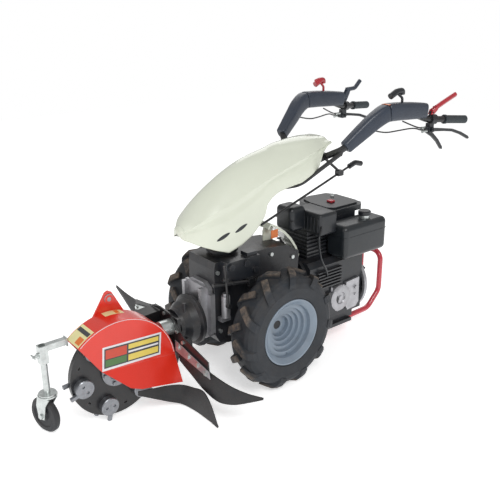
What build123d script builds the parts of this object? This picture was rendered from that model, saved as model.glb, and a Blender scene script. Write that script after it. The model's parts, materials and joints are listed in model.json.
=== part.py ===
"""Two-wheel walking tractor with a front stump-grinding head.

Frame: millimetres, +Z up. The origin is on the ground, midway between the two drive
wheels and straight below their axle. The grinding head is towards -X, the engine and
the handlebars towards +X, and the left wheel towards -Y.
"""

from build123d import *
import os
from math import cos, radians, sin, sqrt

os.makedirs("parts", exist_ok=True)

# ---------------------------------------------------------------- driving dimensions
# Drive wheels
tyre_radius = 252.0
tyre_width = 136.0
lug_height = 20.0
lug_thickness = 27.0
lug_count = 11
tyre_wall = 14.0
rim_radius = 142.0
seat_radius = 127.0
case_half_width = 88.0
wheel_clearance = 74.0
track_half = case_half_width + wheel_clearance + tyre_width / 2
axle_radius = 19.0
running_gap = 0.05
wheel_bolt_circle = 62.0
wheel_bolt_count = 5

# Gearbox
case_wall = 9.0
case_top = 552.0
axle_tube_radius = 44.0
swivel_x = -130.0
swivel_boss_radius = 56.0
swivel_shaft_radius = 30.0

# Grinding head
drum_x = -650.0
drum_z = 178.0
drum_radius = 240.0
hood_wall = 3.0
hood_half_width = 50.0
disc_z = 200.0
disc_radius = 190.0
disc_thickness = 20.0
head_circle = 146.0
head_radius = 37.0
head_depth = 26.0
head_count = 6
head_start = 190.0
tooth_reach = 209.0
tooth_size = 13.0
cutter_shaft_radius = 25.0
shield_x = -400.0
shield_wall = 5.0
rubber_wall = 6.0

# Castor
castor_x = -908.0
castor_y = 46.0
castor_trail = 24.0
castor_swing = -73.0
castor_radius = 71.0
castor_width = 30.0
post_radius = 12.5
post_top = 344.0
screw_z = 330.0
swivel_plate_z = 166.0
sleeve_size = 32.0
sleeve_low = 296.0
arm_z = 354.0
arm_size = 24.0

# Handlebars
pivot_z = 690.0
pivot_pin_radius = 10.0
cowl_wall = 3.0
handle_tube_radius = 14.0
grip_radius = 17.5
grip_length = 138.0
rod_radius = 5.0
rod_slope = 0.325

# Engine
crank_z = 238.0
engine_front = 262.0
engine_rear = 600.0
engine_half_width = 118.0
engine_low = 92.0
engine_top = 424.0
engine_wall = 8.0
tank_size = (278.0, 122.0, 156.0)
tank_corner = (402.0, -188.0, 430.0)
bumper_tube = 13.0


# ---------------------------------------------------------------- shared shape helpers
def bar(start, end, radius, mode=Mode.ADD):
    """A round bar from one point to another."""
    run = Vector(*end) - Vector(*start)
    with BuildSketch(Plane(origin=start, z_dir=run), mode=Mode.PRIVATE) as end_face:
        Circle(radius)
    extrude(end_face.sketch, amount=run.length, mode=mode)


def brick(low, high, mode=Mode.ADD):
    """A rectangular block between two opposite corners."""
    plane = Plane(origin=((low[0] + high[0]) / 2, (low[1] + high[1]) / 2, low[2]))
    with BuildSketch(plane, mode=Mode.PRIVATE) as base:
        Rectangle(high[0] - low[0], high[1] - low[1])
    extrude(base.sketch, amount=high[2] - low[2], mode=mode)


def turned(origin, direction, profile, mode=Mode.ADD):
    """Revolve a closed outline of (distance along the axis, radius) points."""
    side = (0, 0, 1) if abs(direction[2]) < 0.5 else (1, 0, 0)
    normal = Vector(*direction).cross(Vector(*side))
    plane = Plane(origin=origin, x_dir=direction, z_dir=normal)
    with BuildSketch(plane, mode=Mode.PRIVATE) as section:
        with BuildLine():
            Polyline(*profile, close=True)
        make_face()
    revolve(section.sketch, axis=Axis(origin, direction), mode=mode)


def side_plate(points, y_low, y_high, mode=Mode.ADD):
    """A flat plate seen from the side: (x, z) outline between two y values."""
    plane = Plane(origin=(0, y_high, 0), x_dir=(1, 0, 0), z_dir=(0, -1, 0))
    with BuildSketch(plane, mode=Mode.PRIVATE) as outline:
        with BuildLine():
            Polyline(*points, close=True)
        make_face()
    extrude(outline.sketch, amount=y_high - y_low, mode=mode)


def front_plate(points, x_low, x_high, mode=Mode.ADD):
    """A flat plate seen from the front: (y, z) outline between two x values."""
    plane = Plane(origin=(x_low, 0, 0), x_dir=(0, 1, 0), z_dir=(1, 0, 0))
    with BuildSketch(plane, mode=Mode.PRIVATE) as outline:
        with BuildLine():
            Polyline(*points, close=True)
        make_face()
    extrude(outline.sketch, amount=x_high - x_low, mode=mode)


def flat_plate(points, z_low, z_high, mode=Mode.ADD):
    """A flat plate seen from above: (x, y) outline between two z values."""
    with BuildSketch(Plane.XY.offset(z_low), mode=Mode.PRIVATE) as outline:
        with BuildLine():
            Polyline(*points, close=True)
        make_face()
    extrude(outline.sketch, amount=z_high - z_low, mode=mode)


def bent_tube(points, radius, bends, mode=Mode.ADD):
    """A round tube along straight runs joined by tangent arcs."""
    with BuildLine(mode=Mode.PRIVATE) as path:
        FilletPolyline(*points, radius=bends)
    start = Plane(origin=path.line @ 0, z_dir=path.line % 0)
    with BuildSketch(start, mode=Mode.PRIVATE) as end_face:
        Circle(radius)
    sweep(end_face.sketch, path=path.line, mode=mode)
    return path.wire().length


def polar(centre_x, centre_z, radius, angle):
    """A point on a circle in the side view, angle in degrees from +X towards +Z."""
    return (centre_x + radius * cos(radians(angle)), centre_z + radius * sin(radians(angle)))


def hex_bolt(origin, direction, size, length, mode=Mode.ADD):
    """A hexagon head standing on a surface; direction points out of the surface."""
    with BuildSketch(Plane(origin=origin, z_dir=direction), mode=Mode.PRIVATE) as head:
        RegularPolygon(radius=size, side_count=6)
    extrude(head.sketch, amount=length, mode=mode)


# ---------------------------------------------------------------- drive wheels
# The rim is stepped inwards in rings from its lip to a deep hub plate. The profile is
# (distance along the axle from the wheel's mid-plane, radius), outer side positive.
lip = 60.0
hub_face = -32.0
rim_profile = [
    (lip, rim_radius), (lip, rim_radius - 6), (lip - 9, seat_radius - 2),
    (lip - 16, seat_radius - 10), (28, seat_radius - 12), (28, 96), (14, 94), (14, 78),
    (0, 76), (0, 60), (-14, 58), (-14, 46), (hub_face, 44), (hub_face, 35),
    (hub_face - 8, 35), (hub_face - 8, 48), (-21, 50), (-21, 64), (-7, 66), (-7, 82),
    (7, 84), (7, 100), (21, 102), (21, seat_radius - 8), (lip - 20, seat_radius - 4),
    (-lip + 10, seat_radius - 4), (-lip + 4, rim_radius - 6), (-lip, rim_radius - 6),
    (-lip, rim_radius), (-lip + 4, rim_radius), (-lip + 10, seat_radius),
    (lip - 10, seat_radius), (lip - 4, rim_radius),
]
hub_depth = 66.0
hub_profile = [
    (hub_face, axle_radius), (hub_face, 35), (hub_face - 8, 35), (hub_face - 8, 78),
    (hub_face - 18, 78), (hub_face - 18, 40), (hub_face - hub_depth, 38),
    (hub_face - hub_depth, axle_radius),
]
half = tyre_width / 2
carcass = tyre_radius - lug_height
tyre_profile = [
    (-lip + 11, seat_radius), (lip - 11, seat_radius), (lip - 5, rim_radius - 1),
    (lip + 2, rim_radius + 6), (half - 3, 168), (half, 190), (half - 4, 208),
    (half - 16, carcass - 7), (half - 32, carcass), (-half + 32, carcass),
    (-half + 16, carcass - 7), (-half + 4, 208), (-half, 190), (-half + 3, 168),
    (-lip - 2, rim_radius + 6), (-lip + 5, rim_radius - 1),
]
envelope_profile = [
    (-half - 1, 186), (half + 1, 186), (half + 1, 214), (half - 8, 236),
    (half - 22, tyre_radius - 3), (0, tyre_radius), (-half + 22, tyre_radius - 3),
    (-half + 8, 236), (-half - 1, 214),
]

air_outer = carcass - tyre_wall
air_half = half - tyre_wall
air_profile = [
    (-lip + 24, seat_radius - 1), (lip - 24, seat_radius - 1), (lip - 20, rim_radius),
    (air_half, 170), (air_half, 192), (air_half - 18, air_outer), (-air_half + 18, air_outer),
    (-air_half, 192), (-air_half, 170), (-lip + 20, rim_radius),
]

left_hub = (0, -track_half, tyre_radius)
outwards = (0, -1, 0)

with BuildPart() as rim_left:
    turned(left_hub, outwards, rim_profile)
    turned(left_hub, outwards, hub_profile)
    with Locations(Location((0, -track_half - lip + 22, tyre_radius - seat_radius + 18))):
        Cylinder(5, 30, rotation=(90, 0, 0), mode=Mode.SUBTRACT)

with BuildPart() as lugs:
    for index in range(lug_count):
        for side in (1, -1):
            turn = 360.0 / lug_count * (index + (0.5 if side < 0 else 0.0))
            spoke = Plane(left_hub, x_dir=(cos(radians(turn)), 0, sin(radians(turn))),
                          z_dir=(-sin(radians(turn)), 0, cos(radians(turn))))
            # a bar that crosses the tread at 45 degrees, from the middle to one shoulder
            start = spoke.from_local_coords(Vector(tyre_radius - 26, side * -8.0, -14.0))
            end = spoke.from_local_coords(Vector(tyre_radius - 26, side * 78.0, 44.0))
            run = end - start
            out = spoke.x_dir
            with BuildSketch(Plane(origin=start, x_dir=out, z_dir=run), mode=Mode.PRIVATE) as web:
                Rectangle(64, lug_thickness)
            extrude(web.sketch, amount=run.length)
    turned(left_hub, outwards, envelope_profile, mode=Mode.INTERSECT)

with BuildPart() as tyre_left:
    turned(left_hub, outwards, tyre_profile)
    add(lugs.part)
    # air space between the beads, closed by the rim
    turned(left_hub, outwards, air_profile, mode=Mode.SUBTRACT)

with BuildPart() as wheel_bolts_left:
    for index in range(wheel_bolt_count):
        angle = 360.0 / wheel_bolt_count * index + 18
        x, z = polar(0, tyre_radius, wheel_bolt_circle, angle)
        bolt_y = -track_half - (hub_face - 18)
        hex_bolt((x, bolt_y, z), (0, 1, 0), 10, 8)

with BuildPart() as rim_right:
    mirror(rim_left.part, about=Plane.XZ)

with BuildPart() as tyre_right:
    mirror(tyre_left.part, about=Plane.XZ)

with BuildPart() as wheel_bolts_right:
    mirror(wheel_bolts_left.part, about=Plane.XZ)

# ---------------------------------------------------------------- gearbox and axle
hub_inner = track_half + hub_face - hub_depth
nose_x = -236.0
rear_x = 214.0
belly = [
    (nose_x, 236), (-216, 200), (-170, 184), (-96, 178), (60, 186), (120, 214),
    (rear_x, 300), (rear_x, 500), (150, 540), (40, case_top), (-230, case_top),
    (nose_x, 520),
]
inner_belly = [
    (nose_x - 1, 250), (-206, 212), (-166, 196), (-96, 190), (55, 198), (110, 224),
    (rear_x - 10, 306), (rear_x - 10, 490), (146, 526), (38, case_top - 10),
    (-222, case_top - 10), (nose_x + 10, 508), (nose_x + 10, 446), (nose_x - 1, 446),
]
with BuildPart() as gearbox_case:
    side_plate(belly, -case_half_width, case_half_width)
    side_plate(inner_belly, -case_half_width + case_wall, case_half_width - case_wall,
               mode=Mode.SUBTRACT)
    # ribs and a raised cover on each side
    for side in (-1, 1):
        y_face = side * case_half_width
        turned((0, y_face, tyre_radius), (0, side, 0), [(0, 0), (0, 74), (6, 74), (6, 0)])
    turned((-96, case_half_width, 446), (0, 1, 0), [(0, 0), (0, 60), (9, 56), (9, 0)])
    # axle shafts carry the wheels in the hubs
    bar((0, -track_half + 34, tyre_radius), (0, track_half - 34, tyre_radius),
        axle_radius - running_gap)
    for side in (-1, 1):
        turned((0, side * case_half_width, tyre_radius), (0, side, 0),
               [(6, 0), (6, axle_tube_radius), (hub_inner - case_half_width - 0.4, 36),
                (hub_inner - case_half_width - 0.4, 0)])
    # boss that holds the handlebar column
    bar((swivel_x, 0, case_top - 14), (swivel_x, 0, case_top + 12), swivel_boss_radius)
    bar((swivel_x, 0, case_top - 60), (swivel_x, 0, case_top + 13),
        swivel_shaft_radius + running_gap, mode=Mode.SUBTRACT)
    # the shaft guard under the boss keeps the column's shaft out of the oil space
    turned((swivel_x, 0, case_top - 62), (0, 0, 1),
           [(0, 0), (0, swivel_shaft_radius + 6), (54, swivel_shaft_radius + 6),
            (54, swivel_shaft_radius + running_gap), (6, swivel_shaft_radius + running_gap),
            (6, 0)])

# Bracket with the gear shafts on the left of the case, in front of the tyre
with BuildPart() as selector_box:
    brick((-206, -case_half_width - 44, 470), (-40, -case_half_width, 556))
    brick((-96, -case_half_width - 36, 556), (-46, -case_half_width + 8, 572))
    for x in (-186, -110):
        bar((x, -case_half_width - 44, 536), (x, -case_half_width - 54, 536), 13)
    bar((-66, -case_half_width - 44, 500), (-66, -case_half_width - 58, 500), 11)

# Shift rods, their forks and the small pins at their ends
with BuildPart() as linkage_rods:
    left_rods = -case_half_width - 57
    bar((-284, left_rods, 489), (-92, left_rods, 458), 7)
    bar((-92, left_rods, 458), (-30, left_rods, 462), 5)
    brick((-112, left_rods - 9, 446), (-78, left_rods + 9, 472))
    bar((-188, left_rods - 10, 474), (-188, -case_half_width - 44, 474), 6)
    bar((-66, left_rods - 12, 461), (-66, -case_half_width - 44, 461), 6)
    # upright shift lever with its two pivots
    bar((-216, left_rods - 6, 384), (-232, left_rods - 6, 560), 5)
    bar((-216, left_rods - 16, 384), (-216, left_rods + 2, 384), 9)
    bar((-226, left_rods - 14, 498), (-226, left_rods + 1, 498), 9)

# Clevis with the round spool, below the rods
with BuildPart() as drop_link:
    left_spool = -case_half_width - 24
    bar((-200, left_spool, 318), (-200, left_spool, 412), 18)
    bar((-200, left_spool, 412), (-200, left_spool, 424), 12)
    brick((-222, left_spool - 4, 300), (-178, -case_half_width, 318))

# ---------------------------------------------------------------- front power take-off
pto_z = 300.0
with BuildPart() as pto_flange:
    front_plate([(-74, 232), (-44, 214), (44, 214), (74, 232), (74, 440), (40, 462),
                 (-40, 462), (-74, 440)], nose_x - 22, nose_x)
    front_plate([(-66, 240), (66, 240), (66, 452), (-66, 452)], nose_x - 34, nose_x - 22)
    for side in (-1, 1):
        brick((nose_x - 52, side * 58 - 9, 236), (nose_x - 34, side * 58 + 9, 448))
        brick((nose_x - 22, side * 82 - 8, 250), (nose_x, side * 82 + 8, 420))

with BuildPart() as implement_bell:
    turned((nose_x - 34, 0, pto_z), (-1, 0, 0),
           [(0, 0), (0, 48), (18, 48), (18, 104), (34, 106), (42, 92), (70, 84),
            (96, 66), (110, 62), (110, 0)])
    brick((nose_x - 128, -60, 196), (nose_x - 96, 60, 250))
    bar((nose_x - 114, -40, pto_z + 50), (nose_x - 114, -40, pto_z + 98), 7)
    turned((nose_x - 34, 0, pto_z), (-1, 0, 0),
           [(-1, 0), (-1, 36), (26, 36), (26, 84), (40, 84), (66, 74), (92, 56), (100, 49),
            (100, 0)], mode=Mode.SUBTRACT)

# ---------------------------------------------------------------- grinding head
bell_front = nose_x - 34 - 110
case_front = shield_x + 4
with BuildPart() as drive_case:
    # cross-piece on the tractor side of the shield, then a leg past the disc
    front_plate([(-56, 236), (130, 236), (130, 346), (-56, 346)], case_front, bell_front)
    side_plate([(case_front, 236), (case_front, 346), (-560, 340), (-706, 268),
                (-716, 200), (-690, 146), (-640, 128), (-560, 140)], 62, 130)
    side_plate([(-430, 246), (-430, 336), (-558, 330), (-696, 262), (-706, 200),
                (-684, 154), (-638, 138), (-562, 150)], 70, 122, mode=Mode.SUBTRACT)
    bar((drum_x, 40, disc_z), (drum_x, 62, disc_z), 56)
    bar((drum_x, 60, disc_z), (drum_x, 122, disc_z), 40)
    bar((drum_x, 30, disc_z), (drum_x, 112, disc_z), cutter_shaft_radius + running_gap,
        mode=Mode.SUBTRACT)

with BuildPart() as mount_boss:
    reach = sqrt(drum_radius**2 - (305 - drum_z) ** 2)
    bar((drum_x + reach - 8, -14, 305), (shield_x - shield_wall + 4, -14, 305), 32)
    with BuildSketch(Plane(origin=(0, 0, 0), x_dir=(1, 0, 0), z_dir=(0, -1, 0)),
                     mode=Mode.PRIVATE) as drum_side:
        with Locations((drum_x, drum_z)):
            Circle(drum_radius)
    extrude(drum_side.sketch, amount=80, both=True, mode=Mode.SUBTRACT)
    brick((shield_x - shield_wall, -90, 200), (shield_x + 60, 90, 400), mode=Mode.SUBTRACT)

front_lip = 132.6
rear_edge = 5.3
lip_x, lip_z = polar(drum_x, drum_z, drum_radius, front_lip)
edge_x, edge_z = polar(drum_x, drum_z, drum_radius, rear_edge)
fold_front = (-730.0, 232.0)
fold_rear = (edge_x, edge_z)
middle_x, middle_z = polar(drum_x, drum_z, drum_radius, 70)


def hood_side(y_low, y_high, low_points):
    """One side of the hood: the drum's circle above, a straight lower edge below."""
    plane = Plane(origin=(0, y_high, 0), x_dir=(1, 0, 0), z_dir=(0, -1, 0))
    with BuildSketch(plane, mode=Mode.PRIVATE) as outline:
        with BuildLine():
            ThreePointArc((lip_x, lip_z), (middle_x, middle_z), (edge_x, edge_z))
            Polyline((edge_x, edge_z), *low_points, (lip_x, lip_z))
        make_face()
    extrude(outline.sketch, amount=y_high - y_low)


with BuildPart() as grinder_hood:
    # rolled top sheet
    plane = Plane(origin=(0, hood_half_width, 0), x_dir=(1, 0, 0), z_dir=(0, -1, 0))
    inner = drum_radius - hood_wall
    with BuildSketch(plane, mode=Mode.PRIVATE) as rolled:
        with BuildLine():
            ThreePointArc((lip_x, lip_z), (middle_x, middle_z), (edge_x, edge_z))
            Line((edge_x, edge_z), polar(drum_x, drum_z, inner, rear_edge))
            ThreePointArc(polar(drum_x, drum_z, inner, rear_edge),
                          polar(drum_x, drum_z, inner, 70),
                          polar(drum_x, drum_z, inner, front_lip))
            Line(polar(drum_x, drum_z, inner, front_lip), (lip_x, lip_z))
        make_face()
    extrude(rolled.sketch, amount=2 * hood_half_width)
    hood_side(-hood_half_width, -hood_half_width + hood_wall, [fold_front])
    hood_side(hood_half_width - hood_wall, hood_half_width,
              [(-430, 150), (-560, 110), (-700, 150), fold_front])
    # the far side is open around the shaft housing
    bar((drum_x, 44, disc_z), (drum_x, 54, disc_z), 56.4, mode=Mode.SUBTRACT)
    # flared skirt under the left fold; its top edge is let into the side sheet
    fold_y = -hood_half_width + hood_wall / 2
    fold_line = Vector(fold_rear[0] - fold_front[0], 0, fold_rear[1] - fold_front[1])
    down = Vector(-633, -84, 143) - Vector(fold_front[0], fold_y, fold_front[1])
    skirt = Plane(origin=(fold_front[0], fold_y, fold_front[1]), x_dir=fold_line,
                  z_dir=fold_line.cross(down))
    corners = [(fold_front[0], fold_y, fold_front[1] + 2), (-633, -84, 143),
               (-590, -88, 124), (-520, -91.5, 112), (-409, -97, 91),
               (fold_rear[0], fold_y, fold_rear[1] + 2)]
    flat = [skirt.to_local_coords(Vector(*corner)) for corner in corners]
    with BuildSketch(skirt, mode=Mode.PRIVATE) as apron:
        with BuildLine():
            Polyline(*[(point.X, point.Y) for point in flat], close=True)
        make_face()
    extrude(apron.sketch, amount=hood_wall, both=False)
    # rear wall under the drum closes the head towards the shield
    brick((edge_x - 6, -hood_half_width + hood_wall, 150), (edge_x - 2, -40, edge_z + 6))

with BuildPart() as hood_lug:
    # the lifting lug stands on the right edge of the drum
    with BuildSketch(Plane(origin=(0, hood_half_width + 8, 0), x_dir=(1, 0, 0),
                           z_dir=(0, -1, 0)), mode=Mode.PRIVATE) as outline:
        with BuildLine():
            Polyline((-708, 395), (-566, 395), (-604, 470), (-616, 492), (-629, 499),
                     (-643, 494), (-656, 474), (-708, 395))
        make_face()
    extrude(outline.sketch, amount=8)
    bar((-629, 40, 466), (-629, 64, 466), 18.0, mode=Mode.SUBTRACT)
    # pressed-in bush
    with BuildSketch(Plane(origin=(-629, 63, 466), z_dir=(0, -1, 0)),
                     mode=Mode.PRIVATE) as ring:
        Circle(18)
        Circle(9, mode=Mode.SUBTRACT)
    extrude(ring.sketch, amount=18)

with BuildPart() as cutter_disc:
    bar((drum_x, -disc_thickness / 2, disc_z), (drum_x, disc_thickness / 2, disc_z),
        disc_radius)
    bar((drum_x, -disc_thickness, disc_z), (drum_x, disc_thickness, disc_z),
        cutter_shaft_radius, mode=Mode.SUBTRACT)
    for index in range(head_count):
        angle = head_start + 30 + 360.0 / head_count * index
        x, z = polar(drum_x, disc_z, 160, angle)
        slot = Plane(origin=(x, 20, z), x_dir=(-sin(radians(angle)), 0, cos(radians(angle))),
                     z_dir=(0, -1, 0))
        with BuildSketch(slot, mode=Mode.PRIVATE) as window:
            SlotOverall(15, 7)
        extrude(window.sketch, amount=40, mode=Mode.SUBTRACT)

with BuildPart() as cutter_shaft:
    bar((drum_x, -disc_thickness / 2 - 14, disc_z), (drum_x, 108, disc_z),
        cutter_shaft_radius)
    turned((drum_x, 0, disc_z), (0, -1, 0),
           [(disc_thickness / 2, 0), (disc_thickness / 2, 66), (disc_thickness / 2 + 9, 66),
            (disc_thickness / 2 + 9, 40), (disc_thickness / 2 + 16, 36),
            (disc_thickness / 2 + 16, 0)])
    for index in range(6):
        x, z = polar(drum_x, disc_z, 54, 60 * index + 10)
        hex_bolt((x, -disc_thickness / 2 - 9, z), (0, -1, 0), 8, 6)

with BuildPart() as cutter_heads:
    for index in range(head_count):
        x, z = polar(drum_x, disc_z, head_circle, head_start + 360.0 / head_count * index)
        for side in (-1, 1):
            face = side * disc_thickness / 2
            turned((x, face, z), (0, side, 0),
                   [(0, 0), (0, head_radius), (head_depth - 3, head_radius),
                    (head_depth, head_radius - 3), (head_depth, 0)])
    for index in range(head_count):
        angle = head_start + 360.0 / head_count * index
        x, z = polar(drum_x, disc_z, head_circle, angle)
        for across in (-1, 1):
            hx = x - across * 16 * sin(radians(angle + 20))
            hz = z + across * 16 * cos(radians(angle + 20))
            for side in (-1, 1):
                top = side * (disc_thickness / 2 + head_depth)
                bar((hx, top + side, hz), (hx, top - side * 12, hz), 5.8,
                    mode=Mode.SUBTRACT)
        # the cutting bit's square shank sits in a slot that runs out of the head
        for side in (-1, 1):
            lay = 8 if side < 0 else -8
            tip = polar(drum_x, disc_z, tooth_reach + 30, angle + lay * 0.6)
            root = polar(drum_x, disc_z, head_circle + 19, angle + lay * 0.6)
            run = Vector(tip[0] - root[0], 0, tip[1] - root[1])
            mid = side * (disc_thickness / 2 + head_depth / 2)
            with BuildSketch(Plane(origin=(root[0], mid, root[1]), x_dir=(0, 1, 0), z_dir=run),
                             mode=Mode.PRIVATE) as shank:
                Rectangle(tooth_size, tooth_size)
            extrude(shank.sketch, amount=run.length, mode=Mode.SUBTRACT)

with BuildPart() as cutter_teeth:
    for index in range(head_count):
        angle = head_start + 360.0 / head_count * index
        for side in (-1, 1):
            lay = 8 if side < 0 else -8
            tip = polar(drum_x, disc_z, tooth_reach - 1.5, angle + lay * 0.6)
            root = polar(drum_x, disc_z, head_circle + 19, angle + lay * 0.6)
            run = Vector(tip[0] - root[0], 0, tip[1] - root[1])
            mid = side * (disc_thickness / 2 + head_depth / 2)
            with BuildSketch(Plane(origin=(root[0], mid, root[1]), x_dir=(0, 1, 0), z_dir=run),
                             mode=Mode.PRIVATE) as shank:
                Rectangle(tooth_size, tooth_size)
            extrude(shank.sketch, amount=run.length)

with BuildPart() as cutter_bolts:
    for index in range(head_count):
        angle = head_start + 360.0 / head_count * index
        x, z = polar(drum_x, disc_z, head_circle, angle)
        for across in (-1, 1):
            hx = x - across * 16 * sin(radians(angle + 20))
            hz = z + across * 16 * cos(radians(angle + 20))
            for side in (-1, 1):
                top = side * (disc_thickness / 2 + head_depth)
                bar((hx, top - side * 12, hz), (hx, top - side * 4, hz), 5.8)

# Shield behind the head: a steel plate, two rubber wings and a rubber curtain
with BuildPart() as shield_plate:
    front_plate([(60, 366), (-14, 360), (-112, 288), (-268, 250), (-276, 186), (-70, 196),
                 (-50, 150), (58, 150), (200, 190), (250, 262), (254, 328), (158, 343)],
                shield_x - shield_wall, shield_x)
    brick((shield_x - 20, 58, 226), (shield_x + 20, 134, 350), mode=Mode.SUBTRACT)

with BuildPart() as clamp_strips:
    x_face = shield_x - shield_wall
    front_plate([(-66, 232), (-272, 194), (-276, 214), (-66, 254)], x_face - 5, x_face)
    front_plate([(140, 300), (246, 288), (248, 308), (140, screw_z)], x_face - 5, x_face)

with BuildPart() as shield_bolts:
    for y, z in ((-84, 246), (-150, 232), (-210, 219), (-258, 208), (152, 311), (236, 299)):
        hex_bolt((x_face - 5, y, z), (-1, 0, 0), 8, 6)
    for y, z in ((-64, 300), (-104, 268), (26, 348)):
        hex_bolt((x_face, y, z), (-1, 0, 0), 8, 6)

with BuildPart() as rubber_wings:
    # left wing: a sheet behind the plate whose free end curls to the rear
    flat_plate([(shield_x, -64), (shield_x, -284), (-370, -372), (-300, -460),
                (-300 + rubber_wall, -457), (-364, -366), (shield_x + rubber_wall, -278),
                (shield_x + rubber_wall, -64)], 60, 300)
    front_plate([(-64, 236), (-280, 200), (-380, 170), (-466, 152), (-466, 140),
                 (-400, 112), (-330, 92), (-280, 96), (-200, 120), (-64, 170),
                 (-20, 60), (-20, 20), (-500, 20), (-500, 340), (-20, 340), (-64, 300)],
                -420, -280, mode=Mode.SUBTRACT)
    # right wing
    front_plate([(138, 330), (256, 318), (330, 318), (461, 318), (392, 290), (340, 262),
                 (270, 240), (138, 250)], shield_x, shield_x + rubber_wall)

with BuildPart() as curtain_flap:
    # hangs from the skirt's rear edge down to just above the ground
    flat_plate([(-414, -100), (-416, -250), (-420, -336), (-414, -338), (-409, -250),
                (-407, -100), (-450, -62), (-456, -66)], 4, 118)
    front_plate([(-400, 200), (-400, 4), (-337, 4), (-250, 117), (-104, 92), (-104, 200)],
                -500, -380, mode=Mode.SUBTRACT)
    front_plate([(-106, 200), (-106, 88), (-40, 88), (-40, 200)], -500, -380,
                mode=Mode.SUBTRACT)

# ---------------------------------------------------------------- castor
sleeve_top = arm_z + arm_size / 2
sleeve_half = sleeve_size / 2
with BuildPart() as support_arm:
    brick((castor_x + sleeve_half, castor_y - arm_size / 2, arm_z - arm_size / 2),
          (-813, castor_y + arm_size / 2, sleeve_top))
    brick((castor_x + sleeve_half - 1, castor_y - arm_size / 2 + 4, arm_z - arm_size / 2 + 4),
          (-817, castor_y + arm_size / 2 - 4, sleeve_top - 4), mode=Mode.SUBTRACT)
    brick((-819, castor_y - arm_size / 2, arm_z - 18), (-813, castor_y + 18, sleeve_top + 2))
    # clamp sleeve for the post, welded to the arm's front end
    brick((castor_x - sleeve_half, castor_y - sleeve_half, sleeve_low),
          (castor_x + sleeve_half, castor_y + sleeve_half, sleeve_top))
    bar((castor_x, castor_y, sleeve_low - 1), (castor_x, castor_y, sleeve_top + 1),
        post_radius + running_gap, mode=Mode.SUBTRACT)
    bar((castor_x - sleeve_half - 7, castor_y, screw_z), (castor_x - sleeve_half, castor_y, screw_z), 11)
    bar((castor_x - sleeve_half - 9, castor_y, screw_z), (castor_x - post_radius - 1, castor_y, screw_z),
        5 + running_gap, mode=Mode.SUBTRACT)

with BuildPart() as castor_screw:
    bar((castor_x - sleeve_half - 24, castor_y, screw_z), (castor_x - post_radius - 1.5, castor_y, screw_z), 5)
    bar((castor_x - sleeve_half - 19, castor_y - 17, screw_z),
        (castor_x - sleeve_half - 19, castor_y + 17, screw_z), 4)

with BuildPart() as castor_post:
    bar((castor_x, castor_y, swivel_plate_z + 6), (castor_x, castor_y, post_top), post_radius)
    bar((castor_x, castor_y, swivel_plate_z), (castor_x, castor_y, swivel_plate_z + 6), 33)
    bar((castor_x, castor_y, swivel_plate_z - 15), (castor_x, castor_y, swivel_plate_z), 8)

castor_axle_x = castor_x - castor_trail
with BuildPart() as straight_fork:
    turned((castor_x, castor_y, swivel_plate_z - 0.3), (0, 0, -1),
           [(0, 8 + running_gap), (0, 36), (5, 36), (10, 30), (10, 8 + running_gap)])
    leg_in = castor_width / 2 + 2.5
    for side in (-1, 1):
        y_in, y_out = sorted((castor_y + side * leg_in, castor_y + side * (leg_in + 4)))
        side_plate([(castor_x - 34, swivel_plate_z - 10), (castor_x + 30, swivel_plate_z - 10),
                    (castor_x + 6, 122), (castor_axle_x + 15, castor_radius - 12),
                    (castor_axle_x - 15, castor_radius - 12), (castor_axle_x - 22, 112)],
                   y_in, y_out)
    half_axle = leg_in + 4
    bar((castor_axle_x, castor_y - half_axle, castor_radius),
        (castor_axle_x, castor_y + half_axle, castor_radius), 7)
    for side in (-1, 1):
        hex_bolt((castor_axle_x, castor_y + side * half_axle, castor_radius), (0, side, 0), 11, 6)

with BuildPart() as straight_wheel:
    half_tread = castor_width / 2
    turned((castor_axle_x, castor_y, castor_radius), (0, 1, 0),
           [(-half_tread, 7 + running_gap), (-half_tread, 22), (-half_tread + 5, 24),
            (-half_tread + 5, 46), (-half_tread + 1, 50), (-half_tread + 2, 64),
            (-half_tread + 9, castor_radius), (half_tread - 9, castor_radius),
            (half_tread - 2, 64), (half_tread - 1, 50), (half_tread - 5, 46),
            (half_tread - 5, 24), (half_tread, 22), (half_tread, 7 + running_gap)])

# the castor stands swung to one side, as it trails when the machine is turned on the spot
post_line = Axis((castor_x, castor_y, 0), (0, 0, 1))
with BuildPart() as castor_fork:
    add(straight_fork.part.rotate(post_line, castor_swing))
with BuildPart() as castor_wheel:
    add(straight_wheel.part.rotate(post_line, castor_swing))

# ---------------------------------------------------------------- handlebar column
column_seat = case_top + 12.3
with BuildPart() as column_head:
    turned((swivel_x, 0, column_seat), (0, 0, 1),
           [(0, 0), (0, 66), (10, 66), (18, 46), (40, 34), (60, 30), (60, 0)])
    bar((swivel_x, 0, case_top - 54), (swivel_x, 0, column_seat), swivel_shaft_radius)
    bar((swivel_x, -30, pivot_z), (swivel_x, 30, pivot_z), 27)
    brick((swivel_x - 20, -22, column_seat + 40), (swivel_x + 20, 22, pivot_z))
    bar((swivel_x, -40, pivot_z), (swivel_x, 40, pivot_z), pivot_pin_radius + running_gap,
        mode=Mode.SUBTRACT)

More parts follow.
